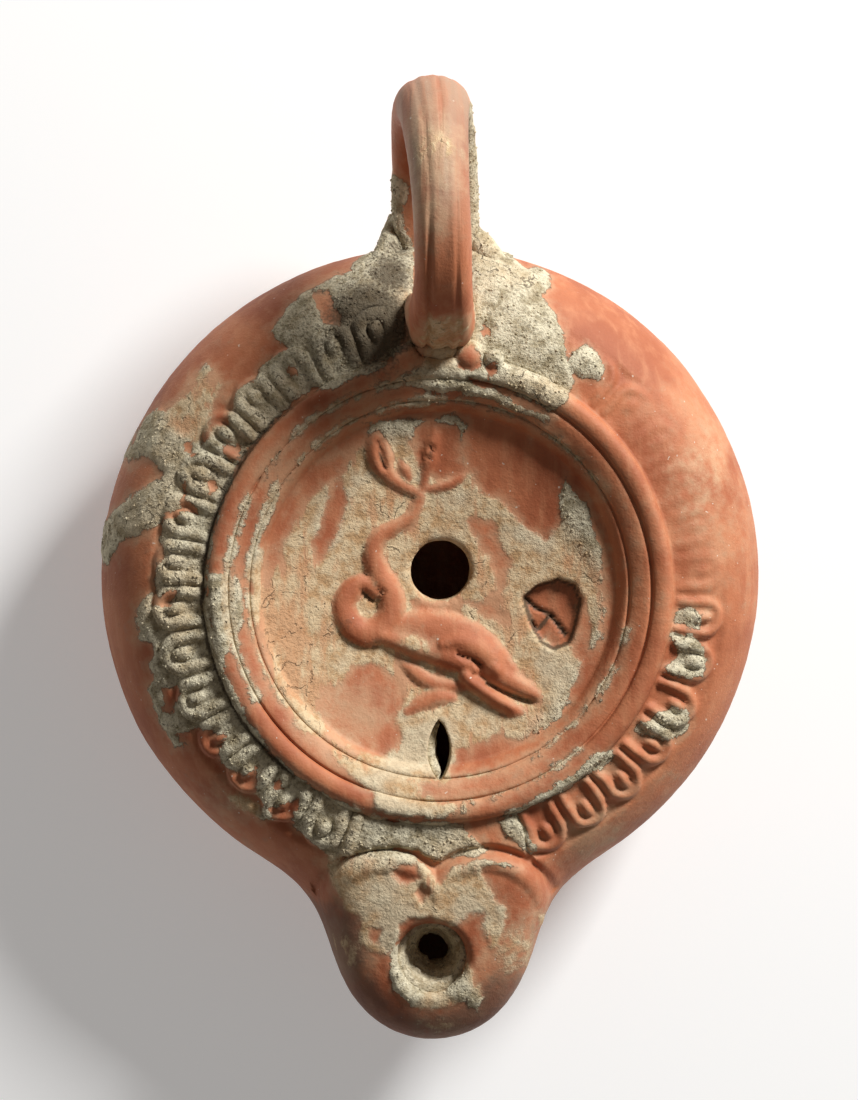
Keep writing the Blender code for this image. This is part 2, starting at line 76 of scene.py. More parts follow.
camera = add_object("camera", bpy.data.cameras.new("camera"))
bpy.context.scene.camera = camera
camera.data.sensor_fit = "HORIZONTAL"
camera.data.sensor_width = SENSOR_WIDTH_MM
camera.data.lens = SENSOR_WIDTH_MM * FOCAL_LENGTH_PX / PHOTO_WIDTH_PX
towards_camera = Vector((-math.tan(CAMERA_TILT_LEFT), math.tan(CAMERA_TILT_BACK), 1)).normalized()
camera_right = Vector((0, 1, 0)).cross(towards_camera).normalized()
camera_up = towards_camera.cross(camera_right)
camera.matrix_world = Matrix.Translation(CAMERA_AIM + towards_camera * CAMERA_DISTANCE) @ Matrix(
    (camera_right, camera_up, towards_camera)
).transposed().to_4x4()
print("camera at", [round(c, 4) for c in camera.matrix_world.translation])

# %% [markdown]
# ## The lamp's sizes
#
# These are the sizes that the solid was made with, in metres. The rings of the top are counted from
# the outline inwards, as a potter would lay them out with a compass: a plain shoulder, the stamped
# border, the moulded rim and the dished floor of the discus. A turn is an angle about the middle of
# the discus, zero at the nozzle and growing towards +X.

# %% Sizes
BODY_RADIUS = 0.0380
BODY_OFF_CENTRE = (-0.0006, 0.0009)
BODY_WIDEST_HEIGHT = 0.0135
SHOULDER_HEIGHT = 0.0242
SHOULDER_ROUNDNESS = 2.1
BELLY_ROUNDNESS = 1.9
WALL = 0.0030

PLAIN_SHOULDER_WIDTH = 0.0048
BORDER_WIDTH = 0.0064
RIM_WIDTH = 0.0066
RIM_RADIUS = BODY_RADIUS - PLAIN_SHOULDER_WIDTH - BORDER_WIDTH
FLOOR_RADIUS = RIM_RADIUS - RIM_WIDTH
RIM_RISE = 0.0014
RIM_TOP = SHOULDER_HEIGHT + RIM_RISE
FLOOR_EDGE_DROP = 0.0034
FLOOR_EDGE_HEIGHT = RIM_TOP - FLOOR_EDGE_DROP
FLOOR_DISH = 0.0025

BASE_RADIUS = 0.0190
BASE_GROOVE_FROM_EDGE = 0.0014
BASE_GROOVE_WIDTH = 0.0020
BASE_GROOVE_DEPTH = 0.0007

NOZZLE_RADIUS = 0.0109
NOZZLE_OFF_CENTRE_X = -0.0005
NOZZLE_DISTANCE = BODY_RADIUS - BODY_OFF_CENTRE[1] + 0.0045
NOZZLE_WIDEST_HEIGHT = BODY_WIDEST_HEIGHT + 0.0025
NOZZLE_TOP_ROUNDNESS = 3.4
NOZZLE_KEEL_ROUNDNESS = 1.6
NECK_BLEND = 0.0120
NOZZLE_TANGENT_TURN = math.asin(NOZZLE_RADIUS / NOZZLE_DISTANCE)
NOZZLE_HALF_TURN = NOZZLE_TANGENT_TURN - math.radians(3.5)
NECK_HALF_TURN = NOZZLE_TANGENT_TURN + math.radians(8.5)
print("rim radius", RIM_RADIUS, "floor radius", FLOOR_RADIUS, "nozzle at", NOZZLE_DISTANCE)

# %% [markdown]
# ## A little mathematics for clay
#
# Soft forms need soft steps. `smooth_step` eases from 0 to 1, `blend` mixes, and `rounded` is the
# quarter of a superellipse, which is rounder or squarer with one number. `smooth_line` bends a line
# through a few points. They take whole numpy arrays, so thousands of points are shaped in one call.

# %% Easing, mixing and rounding
def distance_to(x, y, centre):
    """How far points are from a centre, seen from above."""
    return np.hypot(x - centre[0], y - centre[1])


def smooth_step(low, high, value):
    share = np.clip((value - low) / (high - low), 0.0, 1.0)
    return share * share * (3 - 2 * share)


def blend(a, b, share):
    return a + (b - a) * share


def rounded(share, roundness):
    return (1 - np.clip(share, 0.0, 1.0) ** roundness) ** (1 / roundness)


def dome(distance, radius):
    """Height of a half-round, 1 in the middle and 0 from the radius outwards."""
    return np.sqrt(np.clip(1 - (distance / radius) ** 2, 0.0, 1.0))


def swell(distance, radius):
    """Like a dome, but it starts and ends softly, as a worn ridge or groove does."""
    return np.clip(1 - (distance / radius) ** 2, 0.0, 1.0) ** 2


def smooth_line(points, steps):
    """A Catmull-Rom line through points of any dimension."""
    points = np.array(points, dtype=float)
    padded = np.concatenate([points[:1], points, points[-1:]])
    line = []
    for a, b, c, d in zip(padded, padded[1:], padded[2:], padded[3:]):
        for t in np.arange(steps) / steps:
            line.append(0.5 * (2 * b + (c - a) * t + (2 * a - 5 * b + 4 * c - d) * t ** 2
                               + (3 * b - a - 3 * c + d) * t ** 3))
    return np.array(line + [points[-1]])


# %% [markdown]
# Handmade clay is never quite even. The unevenness comes from value noise: random numbers on a
# lattice, smoothly filled in between. It is written out here because it must give the same numbers
# on every run and work on arrays. Layers of finer and weaker noise make it look natural.

# %% Noise on arrays of points
def lattice(x, y, z, seed):
    mixed = (x * 374761393 + y * 668265263 + z * 1440670441 + seed * 974634777) & 0xFFFFFFFF
    mixed = ((mixed ^ (mixed >> 13)) * 1274126177) & 0xFFFFFFFF
    return ((mixed ^ (mixed >> 16)) & 0xFFFF) / 32767.5 - 1


def noise(points, size, seed):
    scaled = points / size
    cell = np.floor(scaled).astype(np.int64)
    share = scaled - cell
    share = share * share * (3 - 2 * share)
    total = np.zeros(len(points))
    for corner in range(8):
        step = np.array([corner & 1, corner >> 1 & 1, corner >> 2 & 1])
        weight = np.prod(np.where(step, share, 1 - share), axis=1)
        total += weight * lattice(*(cell + step).T, seed)
    return total


def layered_noise(points, size, layers, seed):
    total = np.zeros(len(points))
    for layer in range(layers):
        total += noise(points, size / 2 ** layer, seed + layer) / 2 ** layer
    return total


# %% [markdown]
# ## The outline
#
# Seen from above the lamp is two circles, body and nozzle, that run into each other in a soft neck.
# A signed distance says how far a point is from that outline, and a smooth minimum of the two
# circles' distances rounds the neck. The outline's radius at a turn is found by halving an interval,
# for all turns together.

# %% Outline from two circles
OUTLINE_HALVINGS = 24


def outline_distance(x, y):
    body = distance_to(x, y, BODY_OFF_CENTRE) - BODY_RADIUS
    nozzle = np.hypot(x - NOZZLE_OFF_CENTRE_X, y + NOZZLE_DISTANCE) - NOZZLE_RADIUS
    overlap = np.maximum(NECK_BLEND - np.abs(body - nozzle), 0) / NECK_BLEND
    return np.minimum(body, nozzle) - overlap * overlap * NECK_BLEND / 4


def outline_radius(turns, inset=0.0):
    near = np.zeros(len(turns))
    far = np.full(len(turns), NOZZLE_DISTANCE + NOZZLE_RADIUS + BODY_RADIUS)
    for _ in range(OUTLINE_HALVINGS):
        middle = (near + far) / 2
        inside = outline_distance(middle * np.sin(turns), -middle * np.cos(turns)) < -inset
        near = np.where(inside, middle, near)
        far = np.where(inside, far, middle)
    return near


def nozzle_share(turns):
    return 1 - smooth_step(NOZZLE_HALF_TURN, NECK_HALF_TURN, np.abs(turns))


# %% [markdown]
# ## The skin's rings
#
# The skin is a stack of closed rings, from the middle of the discus outwards, over the shoulder and
# under to the middle of the base. A lathe would do for the body, but not for the nozzle, so each
# ring's points are placed by turn and by share. More turns are spent on the nozzle, where the rings
# are long, and rings near the middle use every second or fourth turn.

# %% Turns
NOZZLE_SECTOR = math.radians(20)
NOZZLE_TURNS = 140
OTHER_TURNS = 460


def all_turns():
    nozzle = np.linspace(-NOZZLE_SECTOR, NOZZLE_SECTOR, NOZZLE_TURNS, endpoint=False)
    others = np.linspace(NOZZLE_SECTOR, 2 * math.pi - NOZZLE_SECTOR, OTHER_TURNS, endpoint=False)
    turns = np.concatenate([nozzle, others])
    return np.where(turns > math.pi, turns - 2 * math.pi, turns)


TURNS = all_turns()
OUTLINE = outline_radius(TURNS)
INNER_OUTLINE = outline_radius(TURNS, WALL)
print(len(TURNS), "turns, outline from", OUTLINE.min(), "to", OUTLINE.max())


def ring(radius, height, every=1):
    """A closed ring of points from a radius and a height at every turn."""
    radius = np.broadcast_to(radius, TURNS.shape)
    height = np.broadcast_to(height, TURNS.shape)
    points = np.stack([radius * np.sin(TURNS), -radius * np.cos(TURNS), height], axis=1)
    return points[::every]


# %% [markdown]
# The rim is two gently sloping bands with fine grooves between them. Its profile is a few points,
# how far in from the rim's foot and how far below its top, and a smooth line through them.

# %% Profiles of the discus and the rim
RIM_PROFILE = (
    (0.00000, 0.00140), (0.00015, 0.00070), (0.00050, 0.00025), (0.00100, 0.00002), (0.00165, 0.00005),
    (0.00225, 0.00030), (0.00245, 0.00055), (0.00262, 0.00095), (0.00280, 0.00070), (0.00320, 0.00070),
    (0.00400, 0.00100), (0.00475, 0.00145), (0.00495, 0.00170), (0.00512, 0.00212), (0.00530, 0.00190),
    (0.00580, 0.00225), (0.00625, 0.00285), (0.00660, 0.00340),
)
RIM_LINE = smooth_line(RIM_PROFILE, 2)


def floor_height(radius):
    share = np.clip(radius / FLOOR_RADIUS, 0.0, 1.0)
    return FLOOR_EDGE_HEIGHT - FLOOR_DISH * (1 - share * share)


def shoulder_ring(share, outline, inset=0.0, every=1):
    """A ring of the upper skin, at a share of the way from the rim's foot to the outline."""
    body_like = 1 - nozzle_share(TURNS)
    roundness = blend(NOZZLE_TOP_ROUNDNESS, SHOULDER_ROUNDNESS, body_like)
    low = blend(NOZZLE_WIDEST_HEIGHT, BODY_WIDEST_HEIGHT, body_like)
    height = low + (SHOULDER_HEIGHT - inset - low) * rounded(share, roundness)
    return ring(blend(RIM_RADIUS, outline, share), height, every)


def belly_ring(share, outline, inset=0.0, every=1):
    """A ring of the lower skin, at a share of the way down from the outline to the base's edge."""
    body_like = 1 - nozzle_share(TURNS)
    fall = rounded(share, blend(NOZZLE_KEEL_ROUNDNESS, BELLY_ROUNDNESS, body_like))
    low = blend(NOZZLE_WIDEST_HEIGHT, BODY_WIDEST_HEIGHT, body_like)
    return ring(blend(BASE_RADIUS, outline, fall), blend(low, inset, share), every)


# %% Lay the outer skin's rings
MIDDLE_FLOOR_RINGS = 24
MIDDLE_FLOOR_SHARE = 0.45
OUTER_FLOOR_RINGS = 34
BORDER_RINGS = 26
PLAIN_SHOULDER_RINGS = 20
BELLY_RINGS = 20
BASE_GROOVE_RINGS = 13
BASE_MIDDLE_SHARES = (0.8, 0.55, 0.3)


def quarter_shares(count):
    """Shares from 0 to 1 that bunch up towards 1, as even steps round a quarter circle do."""
    return np.sin(np.linspace(0, math.pi / 2, count + 1))[1:]


def border_share(reach):
    """The share of the shoulder at a reach. Across the nozzle the border's rings spread over its top."""
    spread = reach / (BODY_RADIUS - RIM_RADIUS)
    return blend(reach / (OUTLINE - RIM_RADIUS), spread, nozzle_share(TURNS))


def outer_rings():
    rings = []
    for share in np.linspace(0, MIDDLE_FLOOR_SHARE, MIDDLE_FLOOR_RINGS + 1)[1:]:
        rings.append(ring(share * FLOOR_RADIUS, floor_height(share * FLOOR_RADIUS), 4))
    for share in np.linspace(MIDDLE_FLOOR_SHARE, 1, OUTER_FLOOR_RINGS + 1)[1:]:
        rings.append(ring(share * FLOOR_RADIUS, floor_height(share * FLOOR_RADIUS), 2))
    for inward, drop in RIM_LINE[-2::-1]:
        rings.append(ring(RIM_RADIUS - inward, RIM_TOP - drop))
    for reach in np.linspace(0, BORDER_WIDTH, BORDER_RINGS + 1)[1:]:
        rings.append(shoulder_ring(border_share(reach), OUTLINE))
    for share in quarter_shares(PLAIN_SHOULDER_RINGS):
        rings.append(shoulder_ring(blend(border_share(BORDER_WIDTH), 1.0, share), OUTLINE))
    for share in quarter_shares(BELLY_RINGS):
        rings.append(belly_ring(share, OUTLINE, every=2))
    groove_edge = BASE_RADIUS - BASE_GROOVE_FROM_EDGE
    for share in np.linspace(-0.5, 1.5, BASE_GROOVE_RINGS):
        depth = BASE_GROOVE_DEPTH * dome(share - 0.5, 0.5)
        rings.append(ring(groove_edge - share * BASE_GROOVE_WIDTH, depth, 2))
    for share in BASE_MIDDLE_SHARES:
        rings.append(ring(share * groove_edge, 0.0, 4))
    return rings


# %% [markdown]
# Rings become faces: four-sided ones between rings of the same count, and three triangles a step
# where the next ring has half as many points. A fan closes each end. The same function makes the
# coarser oil chamber inside.

# %% Join rings into a closed mesh
def band_faces(first, count, second, next_count):
    here = np.arange(count)
    after = (here + 1) % count
    if count == next_count:
        return np.stack([first + here, second + here, second + after, first + after], axis=1).tolist()
    if count < next_count:
        return [face[::-1] for face in band_faces(second, next_count, first, count)]
    faces = []
    for step in range(next_count):
        a, b, c = (first + (2 * step + k) % count for k in range(3))
        inner, inner_after = second + step, second + (step + 1) % next_count
        faces += [(a, inner, b), (b, inner, inner_after), (b, inner_after, c)]
    return faces


def skin_from_rings(name, rings):
    counts = [len(points) for points in rings]
    starts = np.concatenate([[0], np.cumsum(counts)])
    top = rings[0].mean(axis=0)
    bottom = rings[-1].mean(axis=0)
    points = np.concatenate(rings + [top[None], bottom[None]])
    faces = []
    for k in range(len(rings) - 1):
        faces += band_faces(int(starts[k]), counts[k], int(starts[k + 1]), counts[k + 1])
    top_index, bottom_index = len(points) - 2, len(points) - 1
    last = int(starts[-2])
    faces += [(i, (i + 1) % counts[0], top_index) for i in range(counts[0])]
    faces += [(last + (i + 1) % counts[-1], last + i, bottom_index) for i in range(counts[-1])]
    mesh = bpy.data.meshes.new(name)
    mesh.from_pydata(points.tolist(), [], faces)
    point_outwards(mesh)
    return add_object(name, mesh)


def point_outwards(mesh):
    bm = bmesh.new()
    bm.from_mesh(mesh)
    bmesh.ops.recalc_face_normals(bm, faces=bm.faces[:])
    bm.to_mesh(mesh)
    bm.free()


def triangle_count(mesh):
    return sum(len(polygon.vertices) - 2 for polygon in mesh.polygons)


lamp = skin_from_rings("lamp_skin", outer_rings())
print("outer skin:", triangle_count(lamp.data), "triangles")

# %% [markdown]
# Across the nozzle the same rings have more than twice as far to go, so they lie too far apart for
# fine work. Cutting the lines between them in three puts points where the heart-shaped border and
# the wick hole need them, and nowhere else.

# %% Cut the nozzle's top finer
LID_LOWEST = NOZZLE_WIDEST_HEIGHT + 0.0030
NOZZLE_CUTS = 2
# Rounding moves points by a hair, so each limit keeps a hair's distance from a row of points.
HAIR = 0.00001
HAIR_TURN = 0.0001


def cut_nozzle_finer(mesh):
    bm = bmesh.new()
    bm.from_mesh(mesh)
    lines = []
    for edge in bm.edges:
        a, b = (vertex.co for vertex in edge.verts)
        turns = [math.atan2(point.x, -point.y) for point in (a, b)]
        nearest = min(math.hypot(point.x, point.y) for point in (a, b))
        in_sector = max(abs(turn) for turn in turns) < NOZZLE_SECTOR - HAIR_TURN
        runs_outwards = abs(turns[0] - turns[1]) < HAIR_TURN
        on_top = nearest > RIM_RADIUS - HAIR and min(a.z, b.z) > LID_LOWEST
        if in_sector and runs_outwards and on_top:
            lines.append(edge)
    bmesh.ops.subdivide_edges(bm, edges=lines, cuts=NOZZLE_CUTS)
    bm.to_mesh(mesh)
    bm.free()
    return len(lines)


print("lines cut on the nozzle:", cut_nozzle_finer(lamp.data))
print("outer skin:", triangle_count(lamp.data), "triangles")

# %% [markdown]
# ## The dolphin
#
# The dolphin is carved in low relief with its tail in a coil. It is drawn as brush strokes: points
# with half-widths, in shares of the floor's radius, and a smooth line through them. The height at a
# point of the floor comes from its distance to the nearest stroke, domed like a brush mark, so the
# strokes melt into each other where they meet. The large strokes are the solid's own. Smaller ones
# add the fins and the leaves of the tail. Ridges are laid on top: the brow, the cheek and the lower
# lip. Others are cut in: the mouth, the line under the brow and the ribs of the leaves.

# %% Brush strokes
SHORTEST_SQUARED = 1e-18


def stroke_distance(x, y, stroke, steps=4):
    """For each point: how far it is from the stroke's line, and the stroke's half-width there."""
    line = smooth_line(stroke, steps)
    distance = np.full(x.shape, np.inf)
    half_width = np.zeros(x.shape)
    for (ax, ay, aw), (bx, by, bw) in zip(line, line[1:]):
        dx, dy = bx - ax, by - ay
        length_squared = max(dx * dx + dy * dy, SHORTEST_SQUARED)
        share = np.clip(((x - ax) * dx + (y - ay) * dy) / length_squared, 0, 1)
        here = np.hypot(x - ax - share * dx, y - ay - share * dy)
        nearer = here < distance
        distance = np.where(nearer, here, distance)
        half_width = np.where(nearer, blend(aw, bw, share), half_width)
    return distance, half_width


def stroke_distances(x, y, strokes, scale):
    """Goes through named strokes drawn at a scale: each one's name, distances and half-widths."""
    for name, stroke in strokes.items():
        scaled = [[value * scale for value in point] for point in stroke]
        distance, half_width = stroke_distance(x, y, scaled)
        yield name, distance, half_width


# %% Strokes of the dolphin
STROKE_FLATNESS = {"tail": 0.72, "trunk": 0.40, "upper_beak": 0.80, "lower_beak": 0.75}
DOLPHIN_STROKES = {
    "tail": (
        (-0.097, 0.519, 0.034), (-0.148, 0.416, 0.040), (-0.239, 0.348, 0.046),
        (-0.330, 0.296, 0.051), (-0.370, 0.205, 0.057), (-0.342, 0.091, 0.063),
        (-0.279, -0.023, 0.074), (-0.262, -0.137, 0.080), (-0.319, -0.228, 0.082),
        (-0.416, -0.256, 0.080), (-0.501, -0.199, 0.074), (-0.536, -0.103, 0.068),
        (-0.496, -0.017, 0.060), (-0.422, 0.022, 0.054), (-0.350, -0.022, 0.044),
    ),
    "trunk": (
        (-0.330, -0.240, 0.070), (-0.154, -0.262, 0.132), (0.017, -0.291, 0.154),
        (0.160, -0.342, 0.154), (0.274, -0.410, 0.128), (0.370, -0.485, 0.085),
    ),
    "upper_beak": (
        (0.291, -0.456, 0.074), (0.416, -0.536, 0.054), (0.513, -0.587, 0.046), (0.564, -0.615, 0.026),
    ),
    "lower_beak": (
        (0.170, -0.500, 0.063), (0.302, -0.621, 0.051), (0.405, -0.684, 0.046), (0.467, -0.707, 0.026),
    ),
}
# The finer parts, in millimetres from the middle of the discus, with half-widths.
MM = 0.001
DETAIL_FLATNESS = 0.62
RAISED_DETAILS = {
    "upper_fin": (
        (-4.1, -8.7, 0.4), (-2.6, -9.7, 0.9), (-0.9, -10.8, 0.9), (1.2, -11.2, 0.8), (2.8, -11.3, 0.6),
    ),
    "lower_fin": ((-3.6, -14.2, 0.5), (-1.8, -13.2, 0.9), (0.0, -12.5, 1.1), (1.5, -12.6, 0.7)),
    "left_fluke": (
        (-7.1, 17.9, 0.5), (-7.1, 16.6, 1.2), (-6.7, 15.0, 1.5), (-6.1, 13.4, 1.1),
        (-5.0, 12.3, 0.8), (-3.6, 11.4, 0.7), (-2.2, 10.8, 0.6),
    ),
    "middle_fluke": ((-4.4, 14.6, 0.3), (-3.9, 13.6, 0.7), (-3.4, 12.5, 0.5)),
    "right_fluke": (
        (-0.4, 18.2, 0.4), (-0.7, 16.6, 0.8), (-1.0, 14.6, 0.8), (-1.5, 12.8, 0.6), (-1.9, 11.2, 0.5),
    ),
    "far_fluke": ((2.9, 12.9, 0.3), (1.4, 11.9, 0.6), (0.0, 11.5, 0.6), (-1.6, 11.2, 0.5)),
}
RIDGES = {
    "brow": ((0.4, -6.4, 0.6), (2.5, -6.1, 1.0), (4.4, -6.8, 1.3), (5.9, -7.9, 1.3), (6.7, -9.3, 0.8)),
    "cheek": ((-6.2, -5.8, 0.9), (-3.8, -6.7, 1.2), (-1.0, -7.7, 1.4), (1.8, -8.6, 1.3), (3.6, -9.4, 0.9)),
    "lower_lip": ((2.8, -10.4, 0.8), (5.6, -12.0, 0.8), (8.4, -13.6, 0.6)),
}
RIDGE_HEIGHT = 0.00045
CARVED_DETAILS = {
    "mouth": ((5.4, -11.0, 0.2), (6.8, -11.7, 0.30), (8.7, -12.5, 0.4), (10.6, -13.2, 0.4)),
    "under_brow": ((2.2, -7.7, 0.2), (3.6, -8.1, 0.25), (4.9, -8.9, 0.25)),
    "left_fluke_rib": ((-6.8, 16.9, 0.3), (-6.6, 15.2, 0.45), (-6.2, 13.8, 0.3)),
    "right_fluke_rib": ((-0.8, 16.2, 0.15), (-1.0, 14.9, 0.15)),
    "coil_slit": ((-8.9, -0.2, 0.25), (-7.5, -1.6, 0.25)),
}
CARVED_DEPTH = 0.00060
# A swell is soft at its edge, so it spreads a little past the half-width.
SWELL_SPREAD = 1.4
EYE_AT = (0.0042, -0.0095)
EYE_RADIUS = 0.0006
EYE_SOCKET_RADIUS = 0.0012
EYE_SOCKET_DEPTH = 0.8


def dolphin_relief(x, y):
    height = np.zeros(x.shape)
    for name, distance, half_width in stroke_distances(x, y, DOLPHIN_STROKES, FLOOR_RADIUS):
        height = np.maximum(height, STROKE_FLATNESS[name] * half_width * dome(distance, half_width))
    for _, distance, half_width in stroke_distances(x, y, RAISED_DETAILS, MM):
        height = np.maximum(height, DETAIL_FLATNESS * half_width * dome(distance, half_width))
    for _, distance, half_width in stroke_distances(x, y, RIDGES, MM):
        height += RIDGE_HEIGHT * swell(distance, SWELL_SPREAD * half_width)
    for _, distance, half_width in stroke_distances(x, y, CARVED_DETAILS, MM):
        height -= CARVED_DEPTH * swell(distance, SWELL_SPREAD * half_width)
    from_eye = distance_to(x, y, EYE_AT)
    eye = swell(from_eye, EYE_RADIUS) - EYE_SOCKET_DEPTH * swell(from_eye, EYE_SOCKET_RADIUS)
    return height + CARVED_DEPTH * eye


def dolphin_cover(x, y):
    """How far inside the dolphin's strokes each point is. It is negative outside them."""
    cover = np.full(x.shape, -np.inf)
    for strokes, scale in ((DOLPHIN_STROKES, FLOOR_RADIUS), (RAISED_DETAILS, MM)):
        for _, distance, half_width in stroke_distances(x, y, strokes, scale):
            cover = np.maximum(cover, half_width - distance)
    return cover


print("strokes of the dolphin:", len(DOLPHIN_STROKES), "large and", len(RAISED_DETAILS), "small")


# %% [markdown]
# ## Other relief on the lid
#
# The nozzle's top is framed by two round lobes that meet in a cleft, like the top of a heart: a
# groove outside and a soft lip inside. Three small knobs sit where the handle meets the rim. A
# flake has gone from the discus and left a sunken scar. The edges of the holes are worn round. All
# of these are heights over the plain lid, so they are added to the same skin.

# %% Heart, knobs, flake scar and worn edges
LOBE_RADIUS = 0.0083
LOBE_OFFSET_X = 0.0057
LOBE_CENTRE_Y = 0.0030 - NOZZLE_DISTANCE
LOBE_GROOVE_HALF_WIDTH = 0.0006
LOBE_GROOVE_DEPTH = 0.00070
LOBE_GROOVE_SPREAD = 1.3
LOBE_RISE = 0.00045
LOBE_SLOPE = (0.0004, -0.0006)
LOBE_LIP = 0.00032
LOBE_LIP_INSIDE = 0.0012
LOBE_FADE = 0.0006
KNOBS = ((-0.0040, 0.0015), (0.0033, 0.0016), (0.0060, 0.0010))
KNOB_HEIGHT = 0.0013
FILLING_HOLE_RADIUS = 0.00355
FILLING_HOLE_AT = (0.0003, 0.0019)
FILLING_HOLE_WEAR = 0.0006
WICK_HOLE_RADIUS = 0.0041
WICK_HOLE_AT = (-0.0009, -0.0008 - NOZZLE_DISTANCE)
WICK_HOLE_BEVEL = 0.0011
FLAKE_OUTLINE = (
    (0.0098, -0.0011), (0.0113, 0.0002), (0.0137, 0.0009), (0.0156, 0.0003), (0.0163, -0.0014),
    (0.0158, -0.0041), (0.0151, -0.0064), (0.0133, -0.0071), (0.0119, -0.0065), (0.0107, -0.0044),
)
FLAKE_DEPTH = 0.0010
FLAKE_EDGE_SOFTNESS = 0.00025
FLAKE_CRACK_DEPTH = 0.00045
FLAKE_CRACK_OVERRUN = 0.0002
FLAKE_CRACKS = (
    ((0.0099, -0.0012, 0.0003), (0.0112, -0.0024, 0.0003), (0.0129, -0.0032, 0.0003),
     (0.0116, -0.0048, 0.0003)),
    ((0.0129, -0.0032, 0.0003), (0.0147, -0.0055, 0.00035)),
    ((0.0098, -0.0014, 0.0004), (0.0104, -0.0036, 0.0004), (0.0112, -0.0049, 0.0004)),
)
AIR_SLIT_LENGTH = 0.0070
# A little wider than the solid's slit, because soil lines it again below.
AIR_SLIT_WIDTH = 0.0029
AIR_SLIT_Y = AIR_SLIT_LENGTH / 2 - FLOOR_RADIUS - 0.0018


def heart_relief(x, y):
    """The nozzle's top stands a little proud, behind a groove, inside two round lobes."""
    beside = np.abs(x - NOZZLE_OFF_CENTRE_X) - LOBE_OFFSET_X
    from_lobe = np.hypot(beside, np.maximum(y - LOBE_CENTRE_Y, 0.0)) - LOBE_RADIUS
    proud = LOBE_RISE * smooth_step(*LOBE_SLOPE, from_lobe)
    lip = LOBE_LIP * swell(from_lobe + LOBE_LIP_INSIDE, LOBE_LIP_INSIDE)
    spread = LOBE_GROOVE_HALF_WIDTH * LOBE_GROOVE_SPREAD
    groove = LOBE_GROOVE_DEPTH * swell(from_lobe - LOBE_GROOVE_HALF_WIDTH, spread)
    return (proud + lip - groove) * smooth_step(RIM_RADIUS, RIM_RADIUS + LOBE_FADE, np.hypot(x, y))


def outline_depth(x, y, outline):
    """How far inside a closed outline each point is. It is negative outside."""
    corners = np.array(outline, dtype=float)
    nearest = np.full(x.shape, np.inf)
    inside = np.zeros(x.shape, dtype=bool)
    for (ax, ay), (bx, by) in zip(corners, np.roll(corners, -1, axis=0)):
        dx, dy = bx - ax, by - ay
        share = np.clip(((x - ax) * dx + (y - ay) * dy) / (dx * dx + dy * dy), 0, 1)
        nearest = np.minimum(nearest, np.hypot(x - ax - share * dx, y - ay - share * dy))
        if ay != by:
            inside ^= ((y > ay) != (y > by)) & (x < ax + (y - ay) * dx / dy)
    return np.where(inside, nearest, -nearest)


def flake_relief(x, y):
    depth = outline_depth(x, y, FLAKE_OUTLINE)
    relief = -FLAKE_DEPTH * smooth_step(-FLAKE_EDGE_SOFTNESS, FLAKE_EDGE_SOFTNESS, depth)
    for crack in FLAKE_CRACKS:
        distance, half_width = stroke_distance(x, y, crack, steps=1)
        relief -= FLAKE_CRACK_DEPTH * swell(distance, half_width) * (depth > -FLAKE_CRACK_OVERRUN)
    return relief


def worn_edge(distance, radius):
    """How far a worn edge has dropped at a distance from a hole's wall."""
    return radius - radius * np.sqrt(np.clip(1 - (1 - np.clip(distance / radius, 0, 1)) ** 2, 0, 1))


def lid_relief(points):
    x, y, z = points.T
    height = dolphin_relief(x, y) + heart_relief(x, y)
    height += flake_relief(x, y)
    height -= worn_edge(distance_to(x, y, FILLING_HOLE_AT) - FILLING_HOLE_RADIUS, FILLING_HOLE_WEAR)
    height -= worn_edge(distance_to(x, y, WICK_HOLE_AT) - WICK_HOLE_RADIUS, WICK_HOLE_BEVEL)
    top = z + height
    for knob_x, radius in KNOBS:
        knob_y = math.sqrt(RIM_RADIUS ** 2 - knob_x ** 2)
        rise = KNOB_HEIGHT * dome(distance_to(x, y, (knob_x, knob_y)), radius)
        knob_top = SHOULDER_HEIGHT + KNOB_HEIGHT / 2 + rise
        top = np.where(rise > 0, np.maximum(top, knob_top), top)
    return top - z


# %% Press the relief into the lid
def read_vectors(mesh, kind):
    flat = np.empty(len(mesh.vertices) * 3)
    mesh.vertices.foreach_get(kind, flat)
    return flat.reshape(-1, 3)


def read_points(mesh):
    return read_vectors(mesh, "co")


def write_points(mesh, points):
    mesh.vertices.foreach_set("co", points.ravel())
    mesh.update()


def push_out(mesh, distances):
    """Moves every point along its normal."""
    write_points(mesh, read_points(mesh) + read_vectors(mesh, "normal") * distances[:, None])


skin_points = read_points(lamp.data)
on_lid = skin_points[:, 2] > LID_LOWEST
skin_points[on_lid, 2] += lid_relief(skin_points[on_lid])
write_points(lamp.data, skin_points)
print("points shaped on the lid:", int(on_lid.sum()))

# %% [markdown]
# The whole skin then gets the slow, shallow unevenness of clay that was pressed and wiped by hand.
# The base keeps flat, because the lamp stands on it.

# %% Make the skin uneven
HAND_WAVE = 0.00010
HAND_WAVE_SIZE = 0.0085
HAND_WAVE_SEED = 7
WAVES_FROM_HEIGHT = 0.0025


def make_uneven(obj):
    points = read_points(obj.data)
    above_base = smooth_step(0.0, WAVES_FROM_HEIGHT, points[:, 2])
    wave = HAND_WAVE * layered_noise(points, HAND_WAVE_SIZE, 2, HAND_WAVE_SEED) * above_base
    push_out(obj.data, wave)
    return float(np.abs(wave).max())


print("deepest wave, in metres:", make_uneven(lamp))

# %% [markdown]
# ## Sums made of nodes
#
# The border and the finishes need arithmetic in node trees. A row of Math nodes is hard to read, so
# a small class wraps a socket and lets Python's own operators add the nodes: `1 - mask` becomes a
# Subtract node. `Tree.add` makes any other node from its type, its settings and its inputs.

